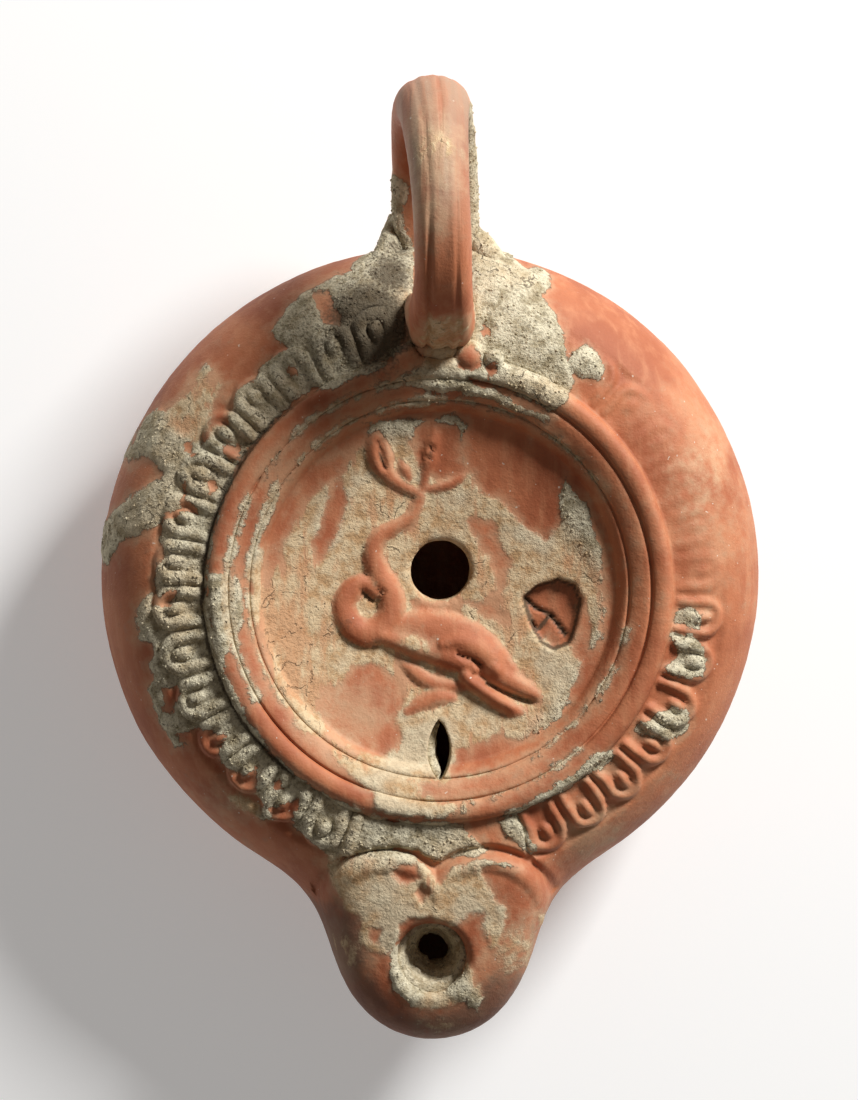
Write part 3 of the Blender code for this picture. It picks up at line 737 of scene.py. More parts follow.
# %% A readable way to write node sums
class Wire:
    """A node's output that can be used in sums."""

    def __init__(self, tree, socket):
        self.tree = tree
        self.socket = socket

    def math(self, operation, *others):
        inputs = {i: value for i, value in enumerate((self, *others))}
        return self.tree.add("ShaderNodeMath", {"operation": operation}, inputs)

    def reflected(self, operation, other):
        return self.tree.add("ShaderNodeMath", {"operation": operation}, {0: other, 1: self})

    def __add__(self, other):
        return self.math("ADD", other)

    def __radd__(self, other):
        return self.reflected("ADD", other)

    def __sub__(self, other):
        return self.math("SUBTRACT", other)

    def __rsub__(self, other):
        return self.reflected("SUBTRACT", other)

    def __mul__(self, other):
        return self.math("MULTIPLY", other)

    def __rmul__(self, other):
        return self.reflected("MULTIPLY", other)

    def __truediv__(self, other):
        return self.math("DIVIDE", other)

    def __rtruediv__(self, other):
        return self.reflected("DIVIDE", other)

    def __neg__(self):
        return self.math("MULTIPLY", -1.0)

    def __abs__(self):
        return self.math("ABSOLUTE")


class Tree:
    """A node tree that nodes are added to by type, settings and inputs."""

    def __init__(self, tree):
        self.tree = tree

    def add(self, kind, settings=None, inputs=None, output=0):
        node = self.tree.nodes.new(kind)
        for name, value in (settings or {}).items():
            if name == "stops":
                self.set_stops(node.color_ramp, value)
            else:
                setattr(node, name, value)
        for name, value in (inputs or {}).items():
            if isinstance(value, Wire):
                self.tree.links.new(value.socket, node.inputs[name])
            else:
                node.inputs[name].default_value = value
        return Wire(self, node.outputs[output])

    def set_stops(self, ramp, stops):
        while len(ramp.elements) < len(stops):
            ramp.elements.new(1.0)
        for element, (position, colour) in zip(ramp.elements, stops):
            element.position = position
            element.color = colour

    def step(self, value, low, high):
        """Eases from 0 at low to 1 at high."""
        settings = {"interpolation_type": "SMOOTHSTEP"}
        return self.add("ShaderNodeMapRange", settings, {"Value": value, "From Min": low, "From Max": high})

    def vector_math(self, operation, first, second=None, scale=None):
        inputs = {0: first}
        if second is not None:
            inputs[1] = second
        if scale is not None:
            inputs["Scale"] = scale
        return self.add("ShaderNodeVectorMath", {"operation": operation}, inputs)

    def separate(self, vector):
        node = self.add("ShaderNodeSeparateXYZ", inputs={0: vector}).socket.node
        return [Wire(self, output) for output in node.outputs]

    def noise(self, position, size, detail, roughness=0.5, output=0):
        """Noise with features of about a size in metres. Output 0 is a number and 1 a colour."""
        inputs = {"Vector": position, "Scale": 1 / size, "Detail": detail, "Roughness": roughness}
        return self.add("ShaderNodeTexNoise", None, inputs, output)

    def mix(self, share, first, second):
        """A colour part of the way from the first to the second."""
        return self.add("ShaderNodeMix", {"data_type": "RGBA"}, {0: share, 6: first, 7: second}, output=2)


# %% [markdown]
# ## The finish
#
# One material covers clay and crust, because on the real lamp they pass into each other. The clay
# is brick red, blotched by the kiln, and paler where dust clings. The handle's top is greyed by dust
# and has fine drawn lines, darkened with painted shade. The crust takes over where the number `soil`,
# roughened by fine noise, rises above 0. It is grey and gritty in the border, and a warm thin film on
# the discus, with a line of painted shadow just outside its edge. The flame left soot on the nozzle,
# and painted shade darkens its left flank and underside, the cuts, the flake's scar, the rim's foot
# on the left and the shoulder where the handle's shadow falls. Five numbers, for soil, warmth, dust,
# soot with shade and painted shade, are measured for each point of the skin further down. Every
# noise reads the object's own coordinates, so it is fixed to the clay.

# %% Colours
BRICK_DARK = (0.370, 0.108, 0.046, 1)
BRICK = (0.510, 0.178, 0.080, 1)
BRICK_PALE = (0.590, 0.258, 0.128, 1)
DUST = (0.570, 0.345, 0.200, 1)
HANDLE_DUST = (0.335, 0.230, 0.155, 1)
# Soot, also used for painted shade on the nozzle's left flank and underside.
SOOT_AND_SHADE = (0.120, 0.078, 0.056, 1)
CRUST_GREY = (0.365, 0.302, 0.186, 1)
CRUST_PALE = (0.720, 0.650, 0.470, 1)
CRUST_WARM = (0.500, 0.310, 0.155, 1)
CRUST_WARM_PALE = (0.680, 0.520, 0.320, 1)
CRUST_WARM_RED = (0.560, 0.260, 0.120, 1)
# Near black: the crust's own grit, and also painted shade in the cuts, at crust edges and in the handle's
# shadow.
GRIT_AND_PAINTED_SHADE = (0.070, 0.048, 0.026, 1)
LIME = (0.800, 0.740, 0.620, 1)


# %% Build the finish
def start_material(name):
    material = bpy.data.materials.new(name)
    material.use_nodes = True
    material.node_tree.nodes.clear()
    return material, Tree(material.node_tree)


def end_material(tree, colour, roughness, height, depth, specular):
    normal = tree.add("ShaderNodeBump", None, {"Strength": 1.0, "Distance": depth, "Height": height})
    surface = tree.add("ShaderNodeBsdfPrincipled", None, {
        "Base Color": colour, "Roughness": roughness, "Normal": normal, "Specular IOR Level": specular,
    })
    output = tree.tree.nodes.new("ShaderNodeOutputMaterial")
    tree.tree.links.new(surface.socket, output.inputs["Surface"])


def number_on_mesh(tree, name):
    return tree.add("ShaderNodeAttribute", {"attribute_name": name}, output=2)


SKIN_NUMBERS = ("soil", "warmth", "dust", "soot", "grime")
BLOTCH_SIZE = 0.0090
PATCH_SIZE = 0.0016
GRAIN_SIZE = 0.00036
SPECK_SIZE = 0.00050
STREAK_SIZE = 0.0016
STREAK_STRETCH = (1.0, 0.20, 1.0)
DRAWN_LINE_SIZE = 0.0012
DRAWN_LINE_STRETCH = (1.0, 0.07, 0.10)
HANDLE_LOW_AND_HIGH = (0.0270, 0.0300)
HANDLE_FRONT_AND_TOP = (0.0360, 0.0470)
CRACK_SPACING = 0.0042
CRACK_BEND_SIZE = 0.0020
CRACK_BEND = 0.0034
BUMP_DEPTH = 0.00016
CLAY_ROUGHNESS = 0.62
CRUST_ROUGHER_BY = 0.32
CLAY_SHEEN = 0.3


def make_clay_finish():
    material, tree = start_material("fired_clay_and_crust")
    position = tree.add("ShaderNodeTexCoord", output=3)
    soil, warmth, dust, soot, grime = (number_on_mesh(tree, name) for name in SKIN_NUMBERS)
    blotches = tree.noise(position, BLOTCH_SIZE, 3.0)
    patches = tree.noise(position, PATCH_SIZE, 5.0, 0.62)
    grain = tree.noise(position, GRAIN_SIZE, 4.0, 0.65)
    specks = tree.noise(position, SPECK_SIZE, 1.0)
    streaks = tree.noise(tree.vector_math("MULTIPLY", position, STREAK_STRETCH), STREAK_SIZE, 4.0, 0.6)
    drawn = tree.noise(tree.vector_math("MULTIPLY", position, DRAWN_LINE_STRETCH), DRAWN_LINE_SIZE, 2.0)
    _, y, z = tree.separate(position)
    on_handle = tree.step(z, *HANDLE_LOW_AND_HIGH)
    on_handle_top = on_handle * tree.step(y, *HANDLE_FRONT_AND_TOP)
    drawn_line = tree.step(drawn, 0.54, 0.68) * on_handle

    thin = warmth * tree.step(streaks + (blotches - 0.5) * 0.8, 0.50, 0.72)
    ragged = soil - thin * 1.1 + (patches - 0.5) * 1.3 + (grain - 0.5) * 0.7
    crust = tree.step(ragged, -0.05, 0.10 + warmth * 0.45)
    # A line of painted shadow just outside the crust's edge, as if the crust stood over it.
    painted_edge_shadow = tree.step(ragged, -0.20, -0.04) * (1 - crust) * (1 - warmth * 0.8)
    painted_edge_shadow = painted_edge_shadow * tree.step(patches, 0.40, 0.56)

    clay = tree.mix(tree.step(blotches, 0.34, 0.64), BRICK_DARK, BRICK)
    clay = tree.mix(tree.step(streaks, 0.42, 0.74) * 0.50, clay, BRICK_PALE)
    clay = tree.mix(tree.step(patches, 0.50, 0.72) * 0.45, clay, BRICK_DARK)
    dusty = dust + (blotches - 0.5) * 1.1 + (patches - 0.5) * 1.3
    clay = tree.mix(tree.step(dusty, 0.20, 1.25) * 0.80, clay, DUST)
    clay = tree.mix(on_handle_top * (0.58 + tree.step(drawn, 0.54, 0.34) * 0.25), clay, HANDLE_DUST)
    # The drawn lines are darkened: painted shade in their grooves.
    clay = tree.mix(drawn_line * 0.45, clay, BRICK_DARK)
    near_crust = tree.step(soil + (patches - 0.5) * 3.0 + (blotches - 0.5) * 2.0, -1.2, 0.4)
    clay = tree.mix(near_crust * 0.32, clay, CRUST_WARM_PALE)
    clay = tree.mix(tree.step(specks, 0.76, 0.81) * 0.6, clay, LIME)
    clay = tree.mix(tree.step(grain, 0.58, 0.76) * 0.45, clay, BRICK_DARK)
    # Soot on the nozzle's front; on its left flank and underneath the same darkening is painted shade.
    smoke_and_shade = tree.step(soot + (patches - 0.5) * 0.9 + (blotches - 0.5) * 0.9, 0.12, 0.95) * 0.66
    clay = tree.mix(smoke_and_shade, clay, SOOT_AND_SHADE)
    # Painted shadow along the crust's edge.
    clay = tree.mix(painted_edge_shadow * 0.42, clay, GRIT_AND_PAINTED_SHADE)

    cold = tree.mix(tree.step(patches, 0.34, 0.60), CRUST_GREY, CRUST_PALE)
    cold = tree.mix(tree.step(blotches, 0.46, 0.66) * 0.45, cold, CRUST_WARM_PALE)
    warm = tree.mix(tree.step(patches + (blotches - 0.5) * 0.6, 0.36, 0.60), CRUST_WARM, CRUST_WARM_PALE)
    warm = tree.mix(tree.step(streaks + (blotches - 0.5) * 1.2, 0.50, 0.70) * 0.65, warm, CRUST_WARM_RED)
    warm = tree.mix(tree.step(blotches, 0.48, 0.36) * 0.55, warm, CRUST_PALE)
    soil_colour = tree.mix(warmth, cold, warm)
    soil_colour = tree.mix(tree.step(grain, 0.50, 0.68) * (0.52 - warmth * 0.26), soil_colour, GRIT_AND_PAINTED_SHADE)
    bend = tree.vector_math("SCALE", tree.noise(position, CRACK_BEND_SIZE, 4.0, output=1), scale=CRACK_BEND)
    to_edge = tree.add(
        "ShaderNodeTexVoronoi",
        {"feature": "DISTANCE_TO_EDGE"},
        {"Vector": tree.vector_math("ADD", position, bend), "Scale": 1 / CRACK_SPACING},
    )
    cracks = (1 - tree.step(to_edge, 0.004, 0.030)) * tree.step(patches + (blotches - 0.5) * 0.8, 0.56, 0.64)
    soil_colour = tree.mix(cracks * (0.75 - warmth * 0.30), soil_colour, GRIT_AND_PAINTED_SHADE)
    colour = tree.mix(crust, clay, soil_colour)
    # Painted shade: the handle's shadow, the shaded cuts and scar, and the rim's foot on the left.
    painted_shade_share = tree.step(grime + (grain - 0.5) * 0.9 + (patches - 0.5) * 0.7, 0.18, 0.85)
    colour = tree.mix(painted_shade_share * 0.88, colour, GRIT_AND_PAINTED_SHADE)

    edge = crust * (0.8 - warmth * 0.65)
    height = edge + (grain - 0.5) * (0.40 + crust * (1.9 - warmth * 1.2))
    height = height + (patches - 0.5) * (0.40 + crust * (1.0 - warmth * 0.3)) - cracks * crust * 0.7
    height = height - drawn_line * 0.35
    roughness = CLAY_ROUGHNESS + crust * CRUST_ROUGHER_BY
    end_material(tree, colour, roughness, height, BUMP_DEPTH, CLAY_SHEEN)
    return material


finish = make_clay_finish()
print("finish:", finish.name, "with", len(finish.node_tree.nodes), "nodes")

# %% [markdown]
# ## The border of eggs
#
# A border of egg stamps runs round the shoulder: each is a raised loop, open towards the discus,
# round a raised egg. One stamp repeated is a job for Geometry Nodes. The tree works out, for every
# point of the skin, which stamp it belongs to and where in the stamp it lies, and lifts it along the
# surface. Each stamp gets its own strength from a seeded random value, and on one side they are
# nearly rubbed away. Changing the count or a size in the tree's inputs redraws the whole border.

# %% Build the border's node tree
EGG_COUNT = 36
EGG_FIRST_TURN = math.radians(3.8)
EGG_LOOP_END_MARGIN = 0.0010
EGG_LOOP_RELIEF = 0.00075
EGG_RELIEF = 0.00085
EGG_FIELD_DEPTH = 0.00045
HANDLE_WIDTH = 0.0064
HANDLE_GAP_WIDTH = HANDLE_WIDTH + 0.0050
BORDER_INPUTS = {
    "Stamps": EGG_COUNT,
    "First Turn": EGG_FIRST_TURN,
    "Inner Radius": RIM_RADIUS,
    "Band Width": BORDER_WIDTH,
    "Loop End Margin": EGG_LOOP_END_MARGIN,
    "Loop Relief": EGG_LOOP_RELIEF,
    "Egg Relief": EGG_RELIEF,
    "Field Depth": EGG_FIELD_DEPTH,
    "Nozzle Gap": NOZZLE_TANGENT_TURN + math.radians(2.5),
    "Handle Gap": math.asin(HANDLE_GAP_WIDTH / 2 / (RIM_RADIUS + BORDER_WIDTH / 2)),
    "Worn From": math.radians(78),
    "Worn To": math.radians(96),
    "Wear": 0.86,
    "Kept Stamp Turn": math.radians(138),
    "Kept Stamp Width": math.radians(6),
    "Wander": 0.0007,
    "Lowest": LID_LOWEST,
    "Finish": finish,
}
BORDER_SEED = 5
STAMP_WANDER_SIZE = 0.0030
# The loop's radius is a share of the stamps' pitch, and its line's half-width a share of the radius.
LOOP_SHARE = 0.34
LINE_SHARE = 0.42
# The egg is longer than wide, and a little wider than the line.
EGG_SQUEEZE = 0.55
EGG_WIDTH_SHARE = 1.05
STAMP_STRENGTHS = (0.70, 1.10)
KEPT_STAMP_SHARE = 0.6
GAP_FADE_TURN = 0.03


def start_geometry_tree(name, inputs):
    group = bpy.data.node_groups.new(name, "GeometryNodeTree")
    group.interface.new_socket("Geometry", in_out="INPUT", socket_type="NodeSocketGeometry")
    for label, value in inputs.items():
        kind = "NodeSocketMaterial" if isinstance(value, bpy.types.Material) else "NodeSocketFloat"
        group.interface.new_socket(label, in_out="INPUT", socket_type=kind)
    group.interface.new_socket("Geometry", in_out="OUTPUT", socket_type="NodeSocketGeometry")
    tree = Tree(group)
    source = group.nodes.new("NodeGroupInput")
    sink = group.nodes.new("NodeGroupOutput")
    wires = {socket.name: Wire(tree, socket) for socket in source.outputs if socket.name}
    return tree, wires, sink


def run_geometry_tree(obj, tree, inputs, name):
    """Evaluates the tree on the object and returns the result as a plain mesh."""
    modifier = obj.modifiers.new(name, "NODES")
    modifier.node_group = tree.tree
    for item in tree.tree.interface.items_tree:
        if item.in_out == "INPUT" and item.name in inputs:
            modifier[item.identifier] = inputs[item.name]
    graph = bpy.context.evaluated_depsgraph_get()
    mesh = bpy.data.meshes.new_from_object(obj.evaluated_get(graph))
    obj.modifiers.remove(modifier)
    return mesh


def build_border_tree():
    tree, given, sink = start_geometry_tree("egg_border", BORDER_INPUTS)
    position = tree.add("GeometryNodeInputPosition")
    wandering = tree.noise(position, STAMP_WANDER_SIZE, 1.0, output=1)
    wandering = tree.vector_math("SUBTRACT", wandering, (0.5, 0.5, 0.5))
    wandering = tree.vector_math("SCALE", wandering, scale=given["Wander"])
    x, y, _ = tree.separate(tree.vector_math("ADD", position, wandering))
    z = tree.separate(position)[2]
    radius = (x * x + y * y).math("SQRT")
    turn = x.math("ARCTAN2", -y)
    reach = radius - given["Inner Radius"]

    pitch_turn = 2 * math.pi / given["Stamps"]
    pitch = pitch_turn * (given["Inner Radius"] + given["Band Width"] * 0.5)
    cell = (turn - given["First Turn"]) / pitch_turn + 0.5
    across = (cell.math("FRACT") - 0.5) * pitch
    loop_radius = pitch * LOOP_SHARE
    line = loop_radius * LINE_SHARE
    straight = given["Band Width"] - given["Loop End Margin"] - loop_radius
    past = (reach - straight).math("MAXIMUM", 0.0)
    from_loop = ((across * across + past * past).math("SQRT") - loop_radius) / line
    along_egg = (reach - straight) * EGG_SQUEEZE
    from_egg = (across * across + along_egg * along_egg).math("SQRT") / (line * EGG_WIDTH_SHARE)
    loop = given["Loop Relief"] * (1 - from_loop * from_loop).math("MAXIMUM", 0.0)
    egg = given["Egg Relief"] * (1 - from_egg * from_egg).math("MAXIMUM", 0.0)

    weakest, strongest = STAMP_STRENGTHS
    strength = tree.add(
        "FunctionNodeRandomValue",
        {"data_type": "FLOAT"},
        {2: weakest, 3: strongest, "ID": cell.math("FLOOR"), "Seed": BORDER_SEED},
        output=1,
    )
    from_kept = (turn - given["Kept Stamp Turn"]) / given["Kept Stamp Width"]
    kept = (1 - from_kept * from_kept).math("MAXIMUM", 0.0)
    worn = tree.step(turn, given["Worn From"], given["Worn To"]) * given["Wear"]
    worn = 1 - worn * (1 - kept * KEPT_STAMP_SHARE)
    turn_size = abs(turn)
    gap = tree.step(turn_size, given["Nozzle Gap"], given["Nozzle Gap"] + GAP_FADE_TURN)
    gap = gap * tree.step(math.pi - turn_size, given["Handle Gap"], given["Handle Gap"] + GAP_FADE_TURN)
    edge = tree.step(reach, 0.0, line) * tree.step(given["Band Width"] - reach, 0.0, line)
    on_top = z.math("GREATER_THAN", given["Lowest"])
    relief = (loop + egg - given["Field Depth"]) * edge * gap * worn * strength * on_top

    normal = tree.add("GeometryNodeInputNormal")
    offset = tree.vector_math("SCALE", normal, scale=relief)
    moved = tree.add("GeometryNodeSetPosition", inputs={"Geometry": given["Geometry"], "Offset": offset})
    whole = tree.add("GeometryNodeRealizeInstances", None, {"Geometry": moved})
    finished = tree.add("GeometryNodeSetMaterial", None, {"Geometry": whole, "Material": given["Finish"]})
    tree.tree.links.new(finished.socket, sink.inputs[0])
    return tree


stamped = run_geometry_tree(lamp, build_border_tree(), BORDER_INPUTS, "egg border")
print("border lifts points by up to", float(np.abs(read_points(stamped) - read_points(lamp.data)).max()))
lamp.data = stamped

# %% [markdown]
# ## The ring handle
#
# The handle is a strap bent into a ring. Fingers drew it out and left one clear groove and a few
# faint ones on its face, which run out towards the top. It is one section swept along a smooth line,
# with the section growing wider and rounder towards the foot. A curve with a bevel object could
# sweep a section too, but not change its roundness on the way, so each loop is worked out here.

# %% Sweep the handle
HANDLE_FOOT_WIDTH = 0.0096
HANDLE_LEAN = -0.0010
HANDLE_THICKNESS = 0.0066
HANDLE_ROOT_FLARE = 0.0012
# Each groove's place and half-width, in shares of half the strap, and its depth.
HANDLE_GROOVES = (
    (-0.46, 0.15, 0.00055), (-0.12, 0.11, 0.00026), (0.18, 0.12, 0.00034), (0.50, 0.12, 0.00022),
)
# These changes start and end at shares of the way from the root to the foot.
HANDLE_GROOVES_FADE = (0.26, 0.42)
HANDLE_WIDENS = (0.38, 0.85)
HANDLE_ROUNDS = (0.20, 0.50)
HANDLE_FLARE_ENDS = 0.3
HANDLE_GROOVES_LEFT = 0.25
HANDLE_GROOVES_WANDER = 0.05
HANDLE_GROOVES_WAVES = 17
HANDLE_ROOT_SQUARENESS = 3.2
HANDLE_FOOT_SQUARENESS = 2.0
HANDLE_INSIDE_SQUARENESS = 3.0
HANDLE_INSIDE_SHARE = 0.42
HANDLE_ROOT_Y = RIM_RADIUS + 0.0042
HANDLE_BACK_Y = BODY_OFF_CENTRE[1] + BODY_RADIUS + 0.0160
HANDLE_LINE_TOP = SHOULDER_HEIGHT + 0.0143
HANDLE_LINE_FOOT = BODY_WIDEST_HEIGHT - 0.0005
HANDLE_LINE = (
    (0.000, 0.275), (0.030, 0.608), (0.191, 0.886), (0.485, 1.000),
    (0.796, 0.910), (1.000, 0.659), (0.949, 0.353), (0.672, 0.125),
)
HANDLE_STEPS_PER_POINT = 12
HANDLE_SIDES = 84


def handle_line():
    points = [
        (blend(HANDLE_ROOT_Y, HANDLE_BACK_Y, out), blend(HANDLE_LINE_FOOT, HANDLE_LINE_TOP, up))
        for out, up in HANDLE_LINE
    ]
    points.append((BODY_OFF_CENTRE[1] + BODY_RADIUS - WALL, HANDLE_LINE_FOOT))
    return smooth_line(points, HANDLE_STEPS_PER_POINT)


def handle_section(width, thickness, roundness, carving, aside):
    """Points round the strap: grooved and domed outside, flatter inside."""
    angles = np.linspace(0, 2 * math.pi, HANDLE_SIDES, endpoint=False)
    x = np.sign(np.cos(angles)) * np.abs(np.cos(angles)) ** (2 / (roundness + 0.4))
    outer = np.sin(angles) >= 0
    rise = rounded(np.abs(x), roundness)
    groove = sum(depth * swell(x - place - aside, half_width) for place, half_width, depth in HANDLE_GROOVES)
    outside = rise * thickness / 2 - carving * groove
    inside = -rounded(np.abs(x), HANDLE_INSIDE_SQUARENESS) * thickness * HANDLE_INSIDE_SHARE
    return x * width / 2, np.where(outer, outside, inside)


def make_handle():
    line = handle_line()
    along = np.gradient(line, axis=0)
    along /= np.linalg.norm(along, axis=1)[:, None]
    loops = []
    for k, ((y, z), (along_y, along_z)) in enumerate(zip(line, along)):
        share = k / (len(line) - 1)
        flare = HANDLE_ROOT_FLARE * (1 - smooth_step(0.0, HANDLE_FLARE_ENDS, share))
        width = blend(HANDLE_WIDTH, HANDLE_FOOT_WIDTH, smooth_step(*HANDLE_WIDENS, share)) + flare
        rounding = smooth_step(*HANDLE_ROUNDS, share)
        roundness = blend(HANDLE_ROOT_SQUARENESS, HANDLE_FOOT_SQUARENESS, rounding)
        carving = blend(1.0, HANDLE_GROOVES_LEFT, smooth_step(*HANDLE_GROOVES_FADE, share))
        aside = HANDLE_GROOVES_WANDER * math.sin(HANDLE_GROOVES_WAVES * share)
        across, out = handle_section(width, HANDLE_THICKNESS + flare, roundness, carving, aside)
        lean = HANDLE_LEAN * math.sin(math.pi * share ** 1.5) ** 2
        loops.append(np.stack([lean + across, y - along_z * out, z + along_y * out], axis=1))
    return skin_from_rings("ring_handle", loops)


handle = make_handle()
print("handle:", triangle_count(handle.data), "triangles")

# %% [markdown]
# ## The oil chamber and the holes
#
# The lamp is hollow. The chamber follows the outside at one wall's thickness, and the filling hole,
# the air slit and the wick hole open into it. Boolean modifiers join the handle to the skin and take
# the hollow shapes away, as the same operations did in the solid.

# %% Shape the hollows
CHAMBER_EVERY = 4


def chamber_rings():
    rings = []
    for share in (0.3, 0.7, 1.0):
        rings.append(ring(share * FLOOR_RADIUS, floor_height(share * FLOOR_RADIUS) - WALL, CHAMBER_EVERY))
    for share in np.concatenate([[0], quarter_shares(6)]):
        rings.append(shoulder_ring(share, INNER_OUTLINE, WALL, CHAMBER_EVERY))
    for share in quarter_shares(8):
        rings.append(belly_ring(share, INNER_OUTLINE, WALL, CHAMBER_EVERY))
    return rings


SHAFT_ROWS = 12
SHAFT_UNEVENNESS = 0.00010
SHAFT_WAVE_SIZE = 0.003
SHAFT_SEEDS = (31, 41)


def make_shaft(name, outline, low, high):
    """An upright shaft with a slightly uneven wall, from the points of its outline."""
    loops = []
    for z in np.linspace(high, low, SHAFT_ROWS):
        points = np.column_stack([outline, np.full(len(outline), z)])
        for axis, seed in enumerate(SHAFT_SEEDS):
            points[:, axis] += SHAFT_UNEVENNESS * layered_noise(points, SHAFT_WAVE_SIZE, 2, seed)
        loops.append(points)
    return skin_from_rings(name, loops)


def circle(centre, radius, sides=96):
    angles = np.linspace(0, 2 * math.pi, sides, endpoint=False)
    return np.column_stack([centre[0] + radius * np.cos(angles), centre[1] + radius * np.sin(angles)])


POINTEDNESS = 0.28


def pointed_oval(centre_y, length, width, sides=64):
    x, y = circle((0.0, 0.0), 1.0, sides).T
    return np.column_stack([x * (1 - POINTEDNESS * y * y) * width / 2, centre_y + y * length / 2])


hollows = [
    skin_from_rings("oil_chamber", chamber_rings()),
    make_shaft("filling_hole", circle(FILLING_HOLE_AT, FILLING_HOLE_RADIUS),
               FLOOR_EDGE_HEIGHT - FLOOR_DISH - 2 * WALL, RIM_TOP),
    make_shaft("wick_hole", circle(WICK_HOLE_AT, WICK_HOLE_RADIUS), NOZZLE_WIDEST_HEIGHT, RIM_TOP),
    make_shaft("air_slit", pointed_oval(AIR_SLIT_Y, AIR_SLIT_LENGTH, AIR_SLIT_WIDTH),
               FLOOR_EDGE_HEIGHT - 2.5 * WALL, RIM_TOP),
]
print("hollows:", [hollow.name for hollow in hollows])

# %% [markdown]
# Round the handle's foot, thick soil fills the corner between the ring and the body. A rough ridge
# on each side and one in front are joined there, so that the corner is filled with real shape and
# not only with colour.

# %% Ridges of soil round the handle's foot
# Each ridge is a line of points with radii, in millimetres.
SOIL_RIDGES = (
    ((-7.4, 36.2, 18.4, 0.4), (-5.9, 38.0, 16.4, 1.1), (-4.9, 40.0, 14.6, 1.25), (-4.5, 42.4, 13.8, 0.8)),
    ((7.8, 35.6, 18.6, 0.5), (6.1, 37.5, 16.5, 1.3), (4.9, 39.4, 14.8, 1.2), (4.0, 41.2, 14.2, 0.5)),
    ((-2.6, 28.0, 24.7, 0.5), (-1.4, 27.6, 24.9, 1.0), (0.3, 27.5, 25.1, 1.2), (1.6, 27.8, 24.9, 0.8)),
)
SOIL_RIDGE_REACHES = (2.6, 2.6, 1.7)
SOIL_RIDGE_ROUGHNESS = 0.16
SOIL_RIDGE_LUMP_SIZE = 0.0016
SOIL_RIDGE_SEED = 53
UPWARDS = np.array((0.0, 0.0, 1.0))


def make_soil_ridge(line, steps=9, sides=40):
    line = smooth_line(line, steps) * MM
    centres, radii = line[:, :3], line[:, 3]
    along = np.gradient(centres, axis=0)
    along /= np.linalg.norm(along, axis=1)[:, None]
    side = UPWARDS - along[:, 2:] * along
    side /= np.linalg.norm(side, axis=1)[:, None]
    up = np.cross(along, side)
    angles = np.linspace(0, 2 * math.pi, sides, endpoint=False)
    loops = []
    for centre, radius, a, b in zip(centres, radii, side, up):
        outward = np.outer(np.cos(angles), a) + np.outer(np.sin(angles), b)
        lumps = layered_noise(centre + radius * outward, SOIL_RIDGE_LUMP_SIZE, 3, SOIL_RIDGE_SEED)
        rough = 1 + SOIL_RIDGE_ROUGHNESS * lumps
        loops.append(centre + radius * rough[:, None] * outward)
    return skin_from_rings("soil_ridge", loops)


soil_ridges = [make_soil_ridge(line) for line in SOIL_RIDGES]
print("soil ridges:", len(soil_ridges))

# %% Join the handle and take the hollows away
def apply_booleans(obj, steps):
    for operation, other in steps:
        modifier = obj.modifiers.new(other.name, "BOOLEAN")
        modifier.operation = operation
        modifier.solver = "EXACT"
        modifier.object = other
    graph = bpy.context.evaluated_depsgraph_get()
    mesh = bpy.data.meshes.new_from_object(obj.evaluated_get(graph))
    obj.modifiers.clear()
    obj.data = mesh
    for _, other in steps:
        bpy.data.objects.remove(other)


apply_booleans(lamp, [("UNION", part) for part in [handle] + soil_ridges]
               + [("DIFFERENCE", hollow) for hollow in hollows])
print("joined and hollowed:", triangle_count(lamp.data), "triangles")
